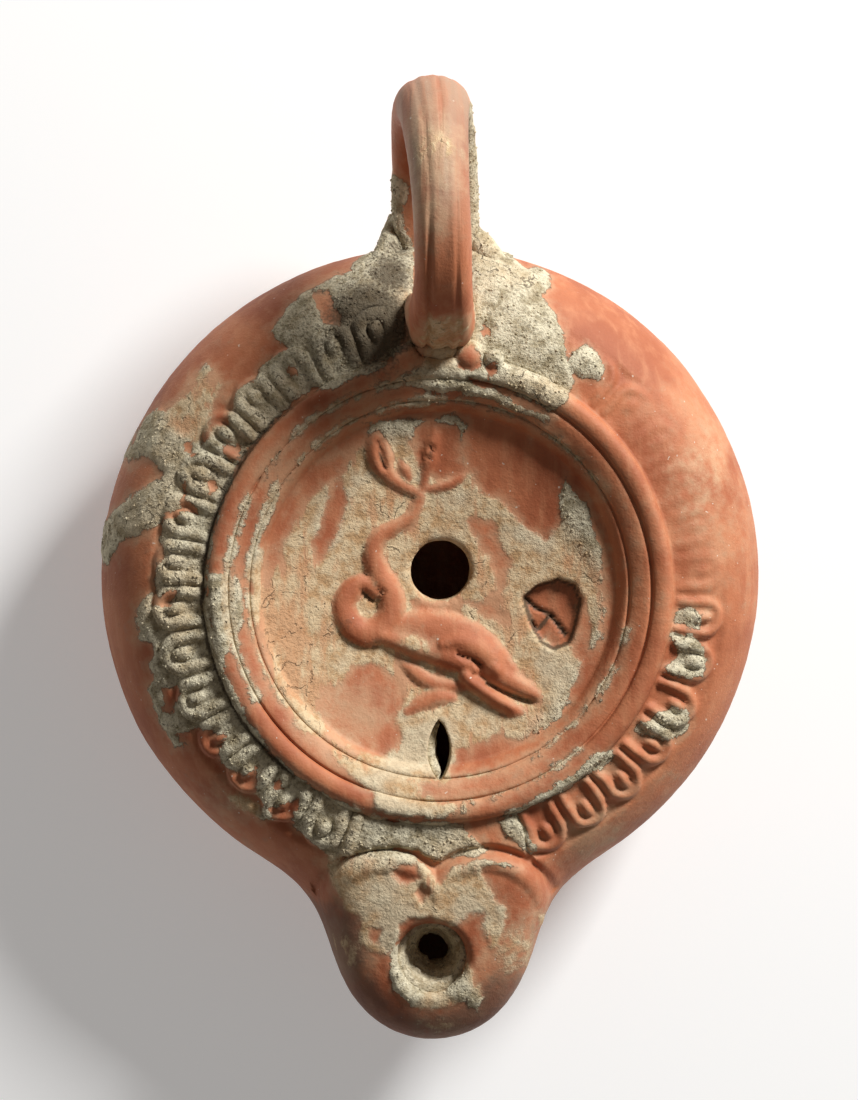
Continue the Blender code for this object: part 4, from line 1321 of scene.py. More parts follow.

# %% [markdown]
# ## Where the crust lies
#
# Lime and soil stick where nothing rubs: in the border, in the grooves, round the dolphin and behind
# the handle. The patches are drawn as closed outlines in millimetres, seen from above, and so are
# the spots where the clay shows again. `outline_depth` turns an outline into a distance, so the edge
# can be roughened by noise and the thickness can grow away from it.

# %% Outlines of crust and of bare clay
CRUST_PATCHES = (
    # left shoulder
    ((-26.4, 25.9), (-24.9, 23.3), (-25.8, 21.1), (-26.2, 18.5), (-26.9, 16.5), (-28.2, 15.4),
     (-27.7, 13.7), (-29.1, 12.6), (-29.1, 10.6), (-27.6, 9.2), (-31.2, 8.9), (-32.2, 7.4),
     (-34.1, 6.2), (-36.5, 5.3), (-37.9, 2.4), (-38.8, 3.8), (-38.2, 7.5), (-36.8, 8.9),
     (-35.5, 9.7), (-34.7, 10.8), (-33.3, 11.8), (-31.4, 12.7), (-31.0, 13.4), (-32.4, 14.5),
     (-33.2, 15.0), (-34.0, 15.1), (-34.7, 14.5), (-35.9, 14.2), (-36.0, 15.0), (-34.4, 17.9),
     (-33.0, 19.8), (-31.8, 20.7), (-31.3, 20.1), (-29.8, 21.5), (-28.9, 21.8), (-28.4, 23.2),
     (-27.7, 24.7)),
    # left border
    ((-15.9, 27.9), (-18.7, 27.0), (-20.2, 25.8), (-20.7, 24.1), (-22.7, 23.2), (-23.6, 21.9),
     (-23.9, 20.3), (-24.1, 18.9), (-25.9, 18.7), (-26.7, 17.4), (-27.3, 16.3), (-28.9, 14.8),
     (-29.2, 13.7), (-28.9, 11.2), (-29.8, 8.8), (-31.4, 7.8), (-31.6, 5.9), (-31.1, 3.9),
     (-32.1, 2.7), (-32.6, 1.1), (-32.1, -0.2), (-33.5, -0.7), (-34.3, -1.6), (-34.6, -2.9),
     (-34.4, -4.7), (-34.5, -6.0), (-32.7, -5.9), (-32.3, -7.5), (-33.0, -8.6), (-32.5, -9.9),
     (-33.2, -11.6), (-32.4, -13.4), (-31.9, -15.3), (-30.9, -17.2), (-30.3, -18.2), (-28.8, -18.0),
     (-29.9, -16.7), (-27.4, -15.8), (-24.2, -16.3), (-24.9, -17.9), (-24.9, -19.7), (-23.7, -20.7),
     (-22.1, -21.1), (-20.8, -20.4), (-20.5, -21.9), (-21.4, -23.3), (-20.3, -24.4), (-18.7, -25.0),
     (-16.3, -24.1), (-17.0, -25.4), (-16.8, -26.8), (-15.7, -28.0), (-14.1, -29.3), (-12.5, -31.4),
     (-10.8, -30.6), (-8.0, -29.8), (-4.5, -29.6), (-2.5, -30.1), (-0.9, -31.1), (0.1, -31.8),
     (1.0, -31.2), (3.7, -30.7), (5.5, -30.0), (3.5, -28.0), (2.6, -26.8), (-1.7, -26.6),
     (-5.1, -26.3), (-8.0, -25.3), (-10.9, -24.3), (-13.9, -22.8), (-16.5, -21.1), (-19.4, -18.2),
     (-21.7, -15.0), (-23.4, -11.3), (-24.8, -7.3), (-26.0, -3.3), (-26.5, 0.1), (-26.3, 3.5),
     (-25.5, 7.5), (-24.1, 11.5), (-22.2, 15.4), (-19.6, 18.8), (-16.5, 21.7), (-13.6, 23.4),
     (-12.5, 24.8)),
    # left strip
    ((-25.9, -22.1), (-24.5, -23.1), (-22.5, -23.5), (-21.2, -23.7), (-20.1, -24.8), (-19.2, -26.2),
     (-20.3, -26.7), (-22.2, -25.6), (-24.2, -24.2)),
    # behind the handle, left
    ((-5.9, 40.0), (-2.7, 40.6), (-2.7, 34.1), (-3.6, 29.6), (-4.8, 27.1), (-6.3, 25.5),
     (-8.2, 24.6), (-10.8, 23.8), (-13.9, 22.8), (-15.9, 24.2), (-16.5, 27.3), (-18.7, 28.2),
     (-19.5, 29.4), (-17.8, 31.4), (-15.8, 33.5), (-13.2, 34.9), (-10.6, 36.0), (-7.8, 37.2)),
    # behind the handle, right
    ((4.0, 40.9), (5.3, 40.4), (7.4, 39.5), (8.5, 38.9), (9.2, 37.2), (9.4, 36.0), (11.0, 36.6),
     (12.6, 36.2), (12.8, 34.6), (12.0, 33.3), (13.0, 31.8), (13.8, 30.1), (14.4, 28.2),
     (15.0, 25.5), (15.4, 23.2), (14.5, 21.7), (13.2, 20.3), (10.8, 21.4), (8.5, 22.3), (6.2, 23.3),
     (4.3, 23.9), (2.2, 24.4), (1.4, 27.3), (2.9, 29.0), (3.5, 33.0)),
    # right flake
    ((15.1, 27.3), (16.6, 28.0), (18.0, 26.9), (19.0, 25.2), (18.4, 23.7), (16.5, 24.0),
     (14.8, 24.7), (14.3, 25.9)),
    # handle front
    ((-1.8, 31.0), (1.9, 31.2), (2.5, 27.9), (2.9, 24.9), (4.1, 23.5), (6.8, 22.6), (9.1, 21.2),
     (12.3, 19.6), (9.1, 19.8), (5.7, 21.4), (1.1, 22.6), (-3.4, 23.3), (-6.8, 22.6), (-9.6, 21.5),
     (-10.8, 21.9), (-8.0, 23.5), (-4.8, 24.4), (-3.2, 24.9), (-2.0, 27.3)),
    # right stamp one
    ((26.9, -2.6), (28.6, -2.1), (30.1, -2.9), (29.9, -4.3), (28.2, -4.3), (27.0, -3.6)),
    # right stamp two
    ((26.5, -5.1), (28.6, -5.2), (30.2, -6.5), (30.8, -8.2), (30.1, -10.0), (28.7, -10.6),
     (26.1, -10.1), (25.5, -8.9), (26.9, -7.7), (26.5, -6.4)),
    # right stamp three
    ((24.6, -14.5), (26.4, -13.5), (28.2, -14.0), (28.8, -16.1), (27.6, -17.3), (25.3, -17.7),
     (24.1, -16.8), (22.4, -16.1), (22.9, -15.2)),
    # right rim foot
    ((17.9, -18.6), (19.7, -18.2), (20.3, -19.3), (19.0, -20.4), (17.2, -21.3), (14.9, -22.7),
     (12.0, -24.2), (9.2, -25.5), (6.9, -26.2), (8.5, -24.9), (12.0, -23.1), (15.4, -20.8)),
    # right of the heart
    ((6.9, -26.6), (8.7, -25.6), (9.9, -27.3), (11.3, -30.0), (10.4, -30.7), (8.5, -29.0),
     (7.5, -28.3)),
    # nozzle top
    ((-10.8, -30.8), (-8.0, -30.1), (-5.1, -29.8), (-2.8, -30.4), (-1.1, -32.0), (-0.1, -33.1),
     (1.4, -31.5), (4.1, -30.9), (7.5, -31.0), (9.3, -31.9), (7.0, -31.8), (4.6, -31.6),
     (5.2, -33.5), (6.4, -35.3), (7.8, -36.4), (7.2, -38.7), (6.7, -40.8), (5.9, -41.5),
     (5.1, -39.8), (4.8, -37.3), (3.5, -37.2), (2.5, -38.1), (1.2, -38.8), (-1.1, -37.7),
     (-3.4, -37.9), (-4.3, -38.6), (-4.9, -40.2), (-6.1, -41.9), (-7.8, -41.6), (-9.1, -41.0),
     (-9.4, -39.4), (-9.2, -37.6), (-10.5, -37.4), (-11.6, -35.3), (-12.5, -33.0), (-13.4, -31.1)),
    # wick lip
    ((-4.8, -40.7), (-5.6, -41.9), (-5.8, -44.3), (-5.1, -46.3), (-3.4, -47.8), (-1.1, -48.5),
     (1.2, -48.5), (3.0, -47.6), (4.2, -46.0), (3.9, -43.9), (3.1, -42.7), (2.5, -44.2),
     (0.9, -45.4), (-1.1, -45.8), (-2.9, -45.4), (-4.2, -43.9), (-4.6, -42.2)),
    # wick lip, right spot
    ((2.8, -45.4), (4.6, -45.5), (5.1, -47.1), (4.5, -48.8), (3.1, -48.2)),
    # nozzle edge, right
    ((11.3, -37.5), (12.2, -37.9), (12.3, -39.3), (11.6, -39.0)),
    # floor
    ((-10.7, 15.6), (-8.5, 17.0), (-7.8, 19.0), (-5.0, 19.5), (-1.0, 19.3), (1.7, 20.3),
     (3.5, 18.7), (2.4, 15.8), (3.6, 13.5), (4.8, 11.2), (7.1, 10.1), (9.4, 7.8), (12.2, 5.5),
     (14.1, 7.8), (13.9, 11.2), (14.5, 12.6), (16.7, 9.5), (18.4, 4.9), (19.1, -0.2), (18.7, -5.4),
     (17.3, -7.7), (16.0, -9.6), (15.2, -12.8), (13.9, -14.6), (12.0, -16.6), (9.3, -17.6),
     (7.0, -17.2), (4.5, -17.7), (3.0, -18.8), (1.3, -20.5), (1.7, -22.8), (4.5, -24.0),
     (2.8, -25.4), (-1.2, -26.0), (-5.2, -25.7), (-7.6, -24.9), (-7.8, -23.4), (-10.3, -21.1),
     (-12.6, -19.0), (-15.4, -17.0), (-17.7, -13.8), (-19.6, -10.2), (-21.0, -6.2), (-21.6, -2.2),
     (-21.8, 1.2), (-21.2, 4.7), (-20.0, 5.2), (-19.3, 1.6), (-18.4, 5.0), (-17.0, 8.5),
     (-15.5, 11.1), (-13.8, 12.7), (-14.8, 14.2), (-13.0, 15.0)),
    # left rim
    ((-26.5, 1.8), (-25.5, 2.2), (-24.1, 2.4), (-22.4, 0.7), (-22.4, -2.2), (-23.0, -4.9),
     (-23.9, -6.7), (-24.8, -7.9), (-25.7, -5.6), (-26.3, -2.2)),
    # handle foot left
    ((-4.7, 39.8), (-2.7, 39.8), (-3.1, 34.1), (-5.0, 34.1)),
)
BARE_PATCHES = (
    # left border egg one
    ((-17.7, 25.5), (-16.4, 25.7), (-16.0, 24.6), (-16.9, 24.1), (-17.7, 24.6)),
    # left border egg two
    ((-24.6, 16.2), (-22.7, 16.3), (-23.0, 15.1), (-24.1, 14.9)),
    # left border egg three
    ((-26.6, 12.4), (-25.7, 12.6), (-25.2, 11.5), (-26.2, 11.0)),
    # left border egg four
    ((-29.6, 10.3), (-28.2, 10.0), (-27.8, 8.8), (-29.1, 9.2)),
    # left border egg five
    ((-29.1, 17.1), (-28.3, 16.9), (-28.2, 15.5), (-29.1, 15.7)),
    # left border egg six
    ((-19.2, -21.6), (-18.0, -21.7), (-17.8, -22.8), (-18.9, -23.0)),
    # left border edge
    ((-32.6, -0.7), (-30.0, -0.2), (-30.7, -1.8), (-33.0, -1.9)),
    # left border low
    ((-31.9, -10.7), (-29.6, -11.4), (-29.9, -12.6), (-30.5, -14.5), (-31.9, -14.1), (-31.6, -12.7)),
    # handle triangle
    ((-14.5, 33.7), (-12.8, 34.1), (-11.2, 31.2), (-11.3, 29.8), (-13.4, 30.5)),
    # nozzle spot one
    ((-5.4, -32.1), (-4.5, -31.3), (-2.9, -31.6), (-2.3, -33.0), (-4.0, -33.3)),
    # nozzle spot two
    ((-2.7, -34.6), (-2.1, -33.7), (-1.5, -34.6), (-2.0, -35.7)),
    # nozzle spot three
    ((-7.7, -39.0), (-6.8, -39.1), (-7.0, -40.3), (-7.8, -40.1)),
    # rim bead left
    ((-5.0, 27.1), (-3.6, 27.7), (-2.9, 26.6), (-3.1, 25.2), (-4.6, 24.9), (-5.3, 25.9)),
    # rim bead right
    ((2.3, 27.0), (3.4, 27.6), (4.4, 26.9), (4.6, 25.5), (3.4, 25.0), (2.2, 25.8)),
    # rim bead small
    ((5.0, 25.5), (6.0, 25.9), (6.3, 24.8), (5.4, 24.3)),
    # floor, lower left
    ((-10.7, -10.5), (-9.9, -9.4), (-8.3, -8.9), (-6.6, -9.2), (-4.9, -10.6), (-4.2, -12.9),
     (-5.1, -15.4), (-4.5, -17.6), (-6.2, -19.0), (-9.1, -18.4), (-11.9, -16.5), (-13.4, -14.1),
     (-12.5, -11.6)),
    # floor, upper left streak
    ((-11.3, 12.7), (-10.6, 10.1), (-11.3, 7.6), (-12.7, 4.6), (-13.8, 3.2), (-14.4, 5.0),
     (-13.4, 7.8), (-12.2, 10.7)),
    # floor, upper right
    ((3.5, 18.7), (7.0, 18.7), (10.4, 17.0), (13.8, 13.5), (13.7, 10.1), (14.1, 7.5), (12.2, 6.0),
     (9.4, 7.8), (7.1, 10.1), (4.8, 11.4), (3.4, 14.1), (2.7, 16.1)),
    # floor, right of the hole
    ((3.6, 7.7), (6.2, 7.3), (7.1, 4.9), (8.2, 2.4), (7.1, -0.3), (6.2, 3.1), (4.6, 4.9)),
    # below the hole
    ((-3.0, -1.5), (0.2, -2.3), (3.7, -1.9), (6.6, -1.5), (7.6, -3.8), (5.5, -3.3), (2.7, -3.5),
     (0.2, -2.8), (-2.5, -3.3)),
    # slit right
    ((2.3, -18.8), (4.5, -18.1), (7.6, -17.4), (10.0, -17.4), (7.4, -19.4), (4.5, -20.6),
     (1.7, -21.7)),
    # rim under the slit
    ((-2.3, -22.1), (0.5, -22.6), (4.0, -21.9), (4.5, -23.1), (1.1, -23.5), (-2.1, -23.4)),
    # right of the flake
    ((16.5, -1.9), (17.3, -6.0), (16.4, -8.3), (15.5, -7.1), (16.3, -4.8)),
    # spot in right crust
    ((5.0, 30.2), (6.0, 29.9), (5.7, 28.9), (4.9, 29.1)),
    # among the tail's leaves
    ((-2.8, 18.4), (-1.0, 19.0), (1.9, 18.6), (2.6, 15.8), (3.6, 13.4), (1.6, 12.6), (-0.4, 12.2),
     (-1.6, 13.4), (-2.4, 14.8)),
    # left band
    ((-14.6, 14.2), (-12.5, 15.0), (-10.2, 15.9), (-10.7, 13.6), (-13.0, 12.2), (-15.3, 10.2),
     (-17.0, 6.7), (-18.4, 3.3), (-19.6, 1.0), (-20.0, 3.5), (-19.1, 6.9), (-17.3, 10.2)),
)
# Crust lines left in the rim's grooves: radius, first turn, last turn and half-width.
CRUSTED_GROOVES = (
    (24.2, -178, -123, 0.42), (24.2, -116, -60, 0.55), (24.2, -19, 42, 0.24),
    (21.7, -176, -20, 0.60), (21.7, -20, 78, 0.34), (21.7, 121, 141, 0.40), (21.7, 141, 184, 0.30),
)
# Crust on the handle: points in millimetres, then the half-width.
HANDLE_CRUST = (
    (((4.4, 39.0, 15.0), (4.3, 44.0, 16.5), (4.2, 49.0, 19.0), (4.0, 53.0, 24.0), (3.6, 54.5, 29.0)), 1.3),
    (((-4.6, 36.0, 14.0), (-4.8, 41.0, 15.0), (-4.4, 46.0, 17.0)), 1.6),
    (((-0.4, 27.6, 25.5), (-0.2, 28.4, 29.5), (0.4, 30.2, 33.5)), 2.7),
)
# A thin, broken film of fine soil: the middle of each spot, its radius and how much.
FILM_SPOTS = (
    ((8.5, -42.0, 22.0), 9.0, 1.18), ((-9.5, -41.0, 21.0), 7.0, 1.35), ((0.0, -50.0, 21.0), 6.0, 1.15),
    ((-1.5, 50.0, 39.5), 8.0, 1.25), ((-2.6, 43.0, 41.0), 4.5, 1.20),
    ((17.0, -29.0, 21.0), 8.0, 1.00), ((-27.0, 21.0, 21.0), 7.0, 0.90), ((29.0, 12.0, 21.0), 8.0, 0.75),
    ((-24.0, -24.0, 20.0), 7.0, 1.05), ((6.0, 0.0, 20.0), 6.0, 0.70),
)
# Crust is warmer and thinner on the discus and on the nozzle than in the border.
WARM_PATCHES = (
    ((-19.5, 6.0), (-12.0, 15.5), (-5.0, 17.0), (4.0, 15.0), (9.0, 8.0), (14.0, 7.0), (19.0, 0.0),
     (16.0, -9.0), (9.0, -18.0), (2.0, -25.0), (-8.0, -25.0), (-16.0, -17.0), (-21.0, -7.0),
     (-22.0, 2.0)),
    ((-14.0, -31.0), (-5.0, -32.0), (5.0, -32.0), (8.0, -37.0), (5.0, -43.0), (-4.0, -39.0),
     (-10.0, -43.0)),
    ((-3.2, 26.0), (3.4, 26.0), (3.6, 33.0), (-3.6, 33.0)),
)
# Here the crust is thicker: the middle of each spot, its radius and how much is added.
THICK_SPOTS = (
    ((7.0, 34.0), 7.0, 0.50), ((-7.0, 33.0), 6.0, 0.60), ((12.5, 28.0), 5.0, 0.30),
    ((17.0, 26.0), 2.6, 0.35), ((-30.0, 0.0), 9.0, 0.10), ((-25.0, -17.0), 8.0, 0.10),
    ((-8.0, -27.0), 8.0, 0.20), ((-4.5, -45.0), 3.0, 0.15), ((-11.5, -3.5), 3.0, 0.20),
    ((-1.0, -15.5), 4.0, 0.20), ((-4.0, -34.5), 7.0, 0.25),
)
# A crumb of crust in the flake's scar, and two spots of it on the dolphin.
FLAKE_CRUMB = ((12.3, -6.4), 0.75)
DOLPHIN_CRUST = (
    ((-4.4, -5.2), (-2.6, -5.0), (-0.9, -6.2), (-0.2, -7.8), (-1.4, -8.2), (-3.2, -7.4), (-4.6, -6.6)),
    ((1.2, -1.8), (3.4, -1.6), (5.0, -3.0), (5.6, -4.0), (4.2, -4.2), (2.2, -3.2)),
)
# Dust lies on the clay in soft spots: the middle of each, its radius and how much.
DUSTY_SPOTS = (
    ((32.0, 12.0), 24.0, 0.45), ((0.0, 50.0), 8.0, 0.15), ((-9.0, -14.0), 7.0, 0.85),
    ((9.5, -38.0), 9.0, 0.55), ((-25.0, 25.0), 10.0, 0.20), ((20.0, -24.0), 12.0, 0.35),
    ((0.0, 30.0), 5.0, 0.20),
)
print("outlines of crust:", len(CRUST_PATCHES), "and of bare clay:", len(BARE_PATCHES))

# %% [markdown]
# All of these become one number for each point of the skin, in millimetres: above 0 there is crust,
# and the number says how far inside its patch the point lies. The dolphin's back stays bare, and
# the hidden underside gets a few patches from noise, thinner and plainer than the lid's.

# %% Measure the crust at every point
def deepest(x, y, outlines):
    depth = np.full(x.shape, -np.inf)
    for outline in outlines:
        depth = np.maximum(depth, outline_depth(x, y, outline))
    return depth


def groove_depth(x, y):
    radius = np.hypot(x, y)
    turn = np.degrees(np.arctan2(x, -y))
    depth = np.full(x.shape, -np.inf)
    for groove_radius, first, last, half_width in CRUSTED_GROOVES:
        middle, half_span = (first + last) / 2, (last - first) / 2
        past = np.abs((turn - middle + 180) % 360 - 180) - half_span
        past = np.radians(np.maximum(past, 0.0)) * groove_radius
        depth = np.maximum(depth, half_width - np.hypot(radius - groove_radius, past))
    return depth


def line_depth(points, line, half_width):
    nearest = np.full(len(points), np.inf)
    for a, b in zip(np.array(line), np.array(line[1:])):
        share = np.clip((points - a) @ (b - a) / ((b - a) @ (b - a)), 0, 1)
        nearest = np.minimum(nearest, np.linalg.norm(points - a - share[:, None] * (b - a), axis=1))
    return half_width - nearest


def shoulder_height(x, y):
    """The plain body's height in plan, to tell the handle from the body under it."""
    outer = distance_to(x, y, BODY_OFF_CENTRE)
    share = np.clip((outer - RIM_RADIUS) / (BODY_RADIUS - RIM_RADIUS), 0, 1)
    rise = (SHOULDER_HEIGHT - BODY_WIDEST_HEIGHT) * rounded(share, SHOULDER_ROUNDNESS)
    return BODY_WIDEST_HEIGHT + rise + np.where(outer < RIM_RADIUS, RIM_RISE, 0.0)


# %% [markdown]
# Dust, soot and painted shade need no sharp edges, so they are soft spots and slopes. A slope is a
# pair of numbers in millimetres: where it starts and where it is full. Below a height the lid's
# painted shade ends, or its drawing would show through on the underside.

# %% Measure dust, soot and painted shade
DUST_EVERYWHERE = 0.12
SOOT_FROM_WICK = (4.6, 8.0)
SOOT_FRONT_Y = (-41.0, -47.0)
SOOT_AND_SHADE_FLANK_Y = (-33.0, -39.0)
# The left flank and the underside are darkened as painted shade as well as soot.
SOOT_AND_SHADE_LEFT_X = (-6.5, -10.5)
SOOT_RIGHT_X = (6.5, 10.0)
SOOT_AND_SHADE_UNDER_Y = (-36.0, -44.0)
SOOT_AND_SHADE_UNDER_Z = (16.0, 11.0)
SOOT_ON_RIGHT = 0.45
SOOT_AND_SHADE_UNDERNEATH = 0.70


def measure_dust(points):
    x, y, _ = points.T / MM
    dust = np.full(len(points), DUST_EVERYWHERE)
    for spot, radius, share in DUSTY_SPOTS:
        dust += share * swell(distance_to(x, y, spot), radius)
    return dust


def measure_soot_and_shade(points):
    """The flame's soot on the front, faint on the right; dark on the left flank and below, where it is also
    painted shade.
    """
    x, y, z = points.T / MM
    from_wick = distance_to(x, y, np.array(WICK_HOLE_AT) / MM)
    front = smooth_step(*SOOT_FROM_WICK, from_wick) * smooth_step(*SOOT_FRONT_Y, y)
    left = smooth_step(*SOOT_AND_SHADE_LEFT_X, x) * smooth_step(*SOOT_AND_SHADE_FLANK_Y, y)
    right = SOOT_ON_RIGHT * smooth_step(*SOOT_RIGHT_X, x) * smooth_step(*SOOT_AND_SHADE_FLANK_Y, y)
    under = SOOT_AND_SHADE_UNDERNEATH * smooth_step(*SOOT_AND_SHADE_UNDER_Y, y) * smooth_step(*SOOT_AND_SHADE_UNDER_Z, z)
    return np.maximum.reduce([front, left, right, under])


# Spots of painted shadow, where the handle's shadow falls to its left and the coil's edge is shaded:
# the middle of each spot in millimetres, its radius and how dark it is.
PAINTED_SHADOW_SPOTS = (
    ((-8.0, 30.0), 8.0, 1.25), ((-5.5, 35.5), 4.5, 0.90), ((-12.5, 27.0), 5.5, 0.55),
    ((-10.5, -4.0), 2.5, 0.35), ((-4.5, 38.5), 4.0, 0.60), ((-6.0, 24.0), 3.5, 0.40),
)
LOWEST_PAINTED_SHADE = 14.0
HIGHEST_PAINTED_SHADOW_SPOT = 26
# Each kind of line of painted shade has its darkness and half-width.
CRACK_PAINTED_SHADE = (1.1, 0.00042)
FLAKE_EDGE_PAINTED_SHADE = (0.8, 0.40)
FLAKE_FLOOR_PAINTED_SHADE = 0.25
CARVED_PAINTED_SHADE = (0.6, 0.55)
RIM_FOOT_PAINTED_SHADOW = (0.85, 0.60)
RIM_FOOT_OUTWARDS = 0.15
# The rim's foot gets painted shadow on the left only: the middle turn, half its span and its fade, in
# degrees.
SHADED_RIM_FOOT = (-88.0, 52.0, 8)


def measure_painted_shade(points):
    """Painted shade: in the flake's cracks and scar, the carved lines, the rim's foot on the left and a few
    spots.
    """
    x, y, z = points.T / MM
    grime = np.zeros(len(points))
    for spot, radius, share in PAINTED_SHADOW_SPOTS:
        here = share * swell(distance_to(x, y, spot), radius) * (z < HIGHEST_PAINTED_SHADOW_SPOT)
        grime = np.maximum(grime, here)
    for crack in FLAKE_CRACKS:
        distance, _ = stroke_distance(x * MM, y * MM, crack, steps=1)
        grime = np.maximum(grime, CRACK_PAINTED_SHADE[0] * swell(distance, CRACK_PAINTED_SHADE[1]))
    flake = outline_depth(x, y, np.array(FLAKE_OUTLINE) / MM)
    flake_edge = FLAKE_EDGE_PAINTED_SHADE[0] * swell(flake, FLAKE_EDGE_PAINTED_SHADE[1])
    grime = np.maximum(grime, flake_edge + FLAKE_FLOOR_PAINTED_SHADE * (flake > 0))
    for stroke in CARVED_DETAILS.values():
        distance, _ = stroke_distance(x, y, stroke)
        grime = np.maximum(grime, CARVED_PAINTED_SHADE[0] * swell(distance, CARVED_PAINTED_SHADE[1]))
    middle, half_span, fade = SHADED_RIM_FOOT
    turn = np.degrees(np.arctan2(x, -y))
    on_left = smooth_step(half_span + fade, half_span - fade, np.abs(turn - middle))
    foot = swell(np.hypot(x, y) - RIM_RADIUS / MM - RIM_FOOT_OUTWARDS, RIM_FOOT_PAINTED_SHADOW[1])
    return np.maximum(grime, RIM_FOOT_PAINTED_SHADOW[0] * foot * on_left) * (z > LOWEST_PAINTED_SHADE)


# %% [markdown]
# The crust's own number starts from the drawn outlines. Then each thing that changes it is laid
# over it in turn: bare patches, the dolphin, the flake, the handle, the ridges and the thin film.

# %% Measure the soil and its warmth
WARM_PATCH_FADE = (-2.0, 1.0)
WARM_FILM_FADE = (0.2, 0.5)
WARM_GROOVE_MARGIN = 0.35
GROOVE_WARMTH = 0.5
# On the dolphin the crust stops a little inside its edge.
DOLPHIN_OVERLAP = 0.2
DOLPHIN_CLEARING = 1.8
FLAKE_CLEARING = 3
# Behind this y the crust fades where the handle rises from the body.
HANDLE_AREA_Y = 24
HANDLE_CLEAR_ABOVE = 2.6
HANDLE_CLEARING = 1.5
FILM_START = 1.0
FILM_GROWTH = 1.5
# The underside's own patches: their noise's strength, size and seed, and how rare they are.
UNDER_PATCHES = (1.6, 0.011, 77)
UNDER_RARITY = 1.0
UNDERSIDE_FADE = (0.0128, 0.0100)
HANDLE_FOOT_Y = 44
HANDLE_FOOT_CLEARANCE = 6
RAGGED_EDGE = 0.30
RAGGED_SIZE = 0.0024
RAGGED_SEED = 61


def measure_film(points):
    film = np.zeros(len(points))
    for spot, radius, share in FILM_SPOTS:
        film = np.maximum(film, share * swell(np.linalg.norm(points / MM - spot, axis=1), radius))
    return film


def measure_warmth(points, film):
    """1 where the crust is a warm, thin film: in the drawn patches and the spots, half in the grooves."""
    x, y, _ = points.T / MM
    patches = smooth_step(*WARM_PATCH_FADE, deepest(x, y, WARM_PATCHES))
    grooves = smooth_step(-WARM_GROOVE_MARGIN, 0.0, groove_depth(x, y)) * GROOVE_WARMTH
    return np.maximum.reduce([patches, grooves, smooth_step(*WARM_FILM_FADE, film)])


def measure_soil(points, film):
    x, y, z = points.T / MM
    soil = np.maximum(deepest(x, y, CRUST_PATCHES), groove_depth(x, y))
    soil = np.minimum(soil, -deepest(x, y, BARE_PATCHES))
    soil = np.minimum(soil, DOLPHIN_OVERLAP - DOLPHIN_CLEARING * dolphin_cover(x * MM, y * MM) / MM)
    soil = np.maximum(soil, deepest(x, y, DOLPHIN_CRUST))
    soil = np.minimum(soil, -deepest(x, y, [np.array(FLAKE_OUTLINE) / MM]) * FLAKE_CLEARING)
    crumb_at, crumb_radius = FLAKE_CRUMB
    soil = np.maximum(soil, crumb_radius - distance_to(x, y, crumb_at))

    above = (z * MM - shoulder_height(x * MM, y * MM)) / MM
    cleared = soil - np.maximum(above - HANDLE_CLEAR_ABOVE, 0) * HANDLE_CLEARING
    soil = np.where(y > HANDLE_AREA_Y, cleared, soil)
    for line, half_width in HANDLE_CRUST:
        soil = np.maximum(soil, line_depth(points / MM, line, half_width))
    for ridge, reach in zip(SOIL_RIDGES, SOIL_RIDGE_REACHES):
        soil = np.maximum(soil, line_depth(points / MM, np.array(ridge)[:, :3], reach))
    soil = np.maximum(soil, (film - FILM_START) * FILM_GROWTH)

    strength, size, seed = UNDER_PATCHES
    below = strength * layered_noise(points, size, 3, seed) - UNDER_RARITY
    off_the_foot = np.abs(x) + np.abs(y - HANDLE_FOOT_Y) * 0.4 > HANDLE_FOOT_CLEARANCE
    soil = blend(soil, below, smooth_step(*UNDERSIDE_FADE, points[:, 2]) * off_the_foot)
    return soil + RAGGED_EDGE * layered_noise(points, RAGGED_SIZE, 3, RAGGED_SEED)


lamp_points = read_points(lamp.data)
film = measure_film(lamp_points)
soil = measure_soil(lamp_points, film)
warmth = measure_warmth(lamp_points, film)
dust = measure_dust(lamp_points)
soot = measure_soot_and_shade(lamp_points)
grime = measure_painted_shade(lamp_points)
print("points under crust:", int((soil > 0).sum()), "of", len(soil))

# %% [markdown]
# The crust has thickness. Points under it are moved out along their normals, more where the crust
# is thick, with lumps the size of grains of sand. On the discus and the nozzle it is only a film.
# The numbers are kept on the mesh as attributes, so the finish knows where crust, dust, soot and
# painted shade lie.

# %% Raise the crust
CRUST_THICKNESS = 0.00024
CRUST_LUMPS = 0.00012
CLAY_TOOTH = 0.000022
FILM_THINNING = 0.65
CRUST_SLOPE = (-0.12, 0.55)
LUMP_SIZE = 0.0013
LUMP_SEED = 83
TOOTH_SIZE = 0.0008
TOOTH_SEED = 91
CRUST_FROM_HEIGHT = 0.0015
MOST_SOIL = 4


def raise_crust(obj, soil, warmth):
    points = read_points(obj.data)
    x, y, _ = points.T / MM
    covered = smooth_step(*CRUST_SLOPE, soil)
    extra = np.zeros(len(points))
    for spot, radius, thickness in THICK_SPOTS:
        extra += thickness * MM * swell(distance_to(x, y, spot), radius)
    lumps = layered_noise(points, LUMP_SIZE, 3, LUMP_SEED)
    crust = (CRUST_THICKNESS + CRUST_LUMPS * lumps) * (1 - FILM_THINNING * warmth) + extra
    up = covered * crust + CLAY_TOOTH * layered_noise(points, TOOTH_SIZE, 2, TOOTH_SEED)
    up *= smooth_step(0.0, CRUST_FROM_HEIGHT, points[:, 2])
    push_out(obj.data, up)
    return float(up.max())


def keep_numbers(mesh, numbers):
    for name, values in zip(SKIN_NUMBERS, numbers):
        attribute = mesh.attributes.new(name, "FLOAT", "POINT")
        attribute.data.foreach_set("value", values.astype(np.float32))


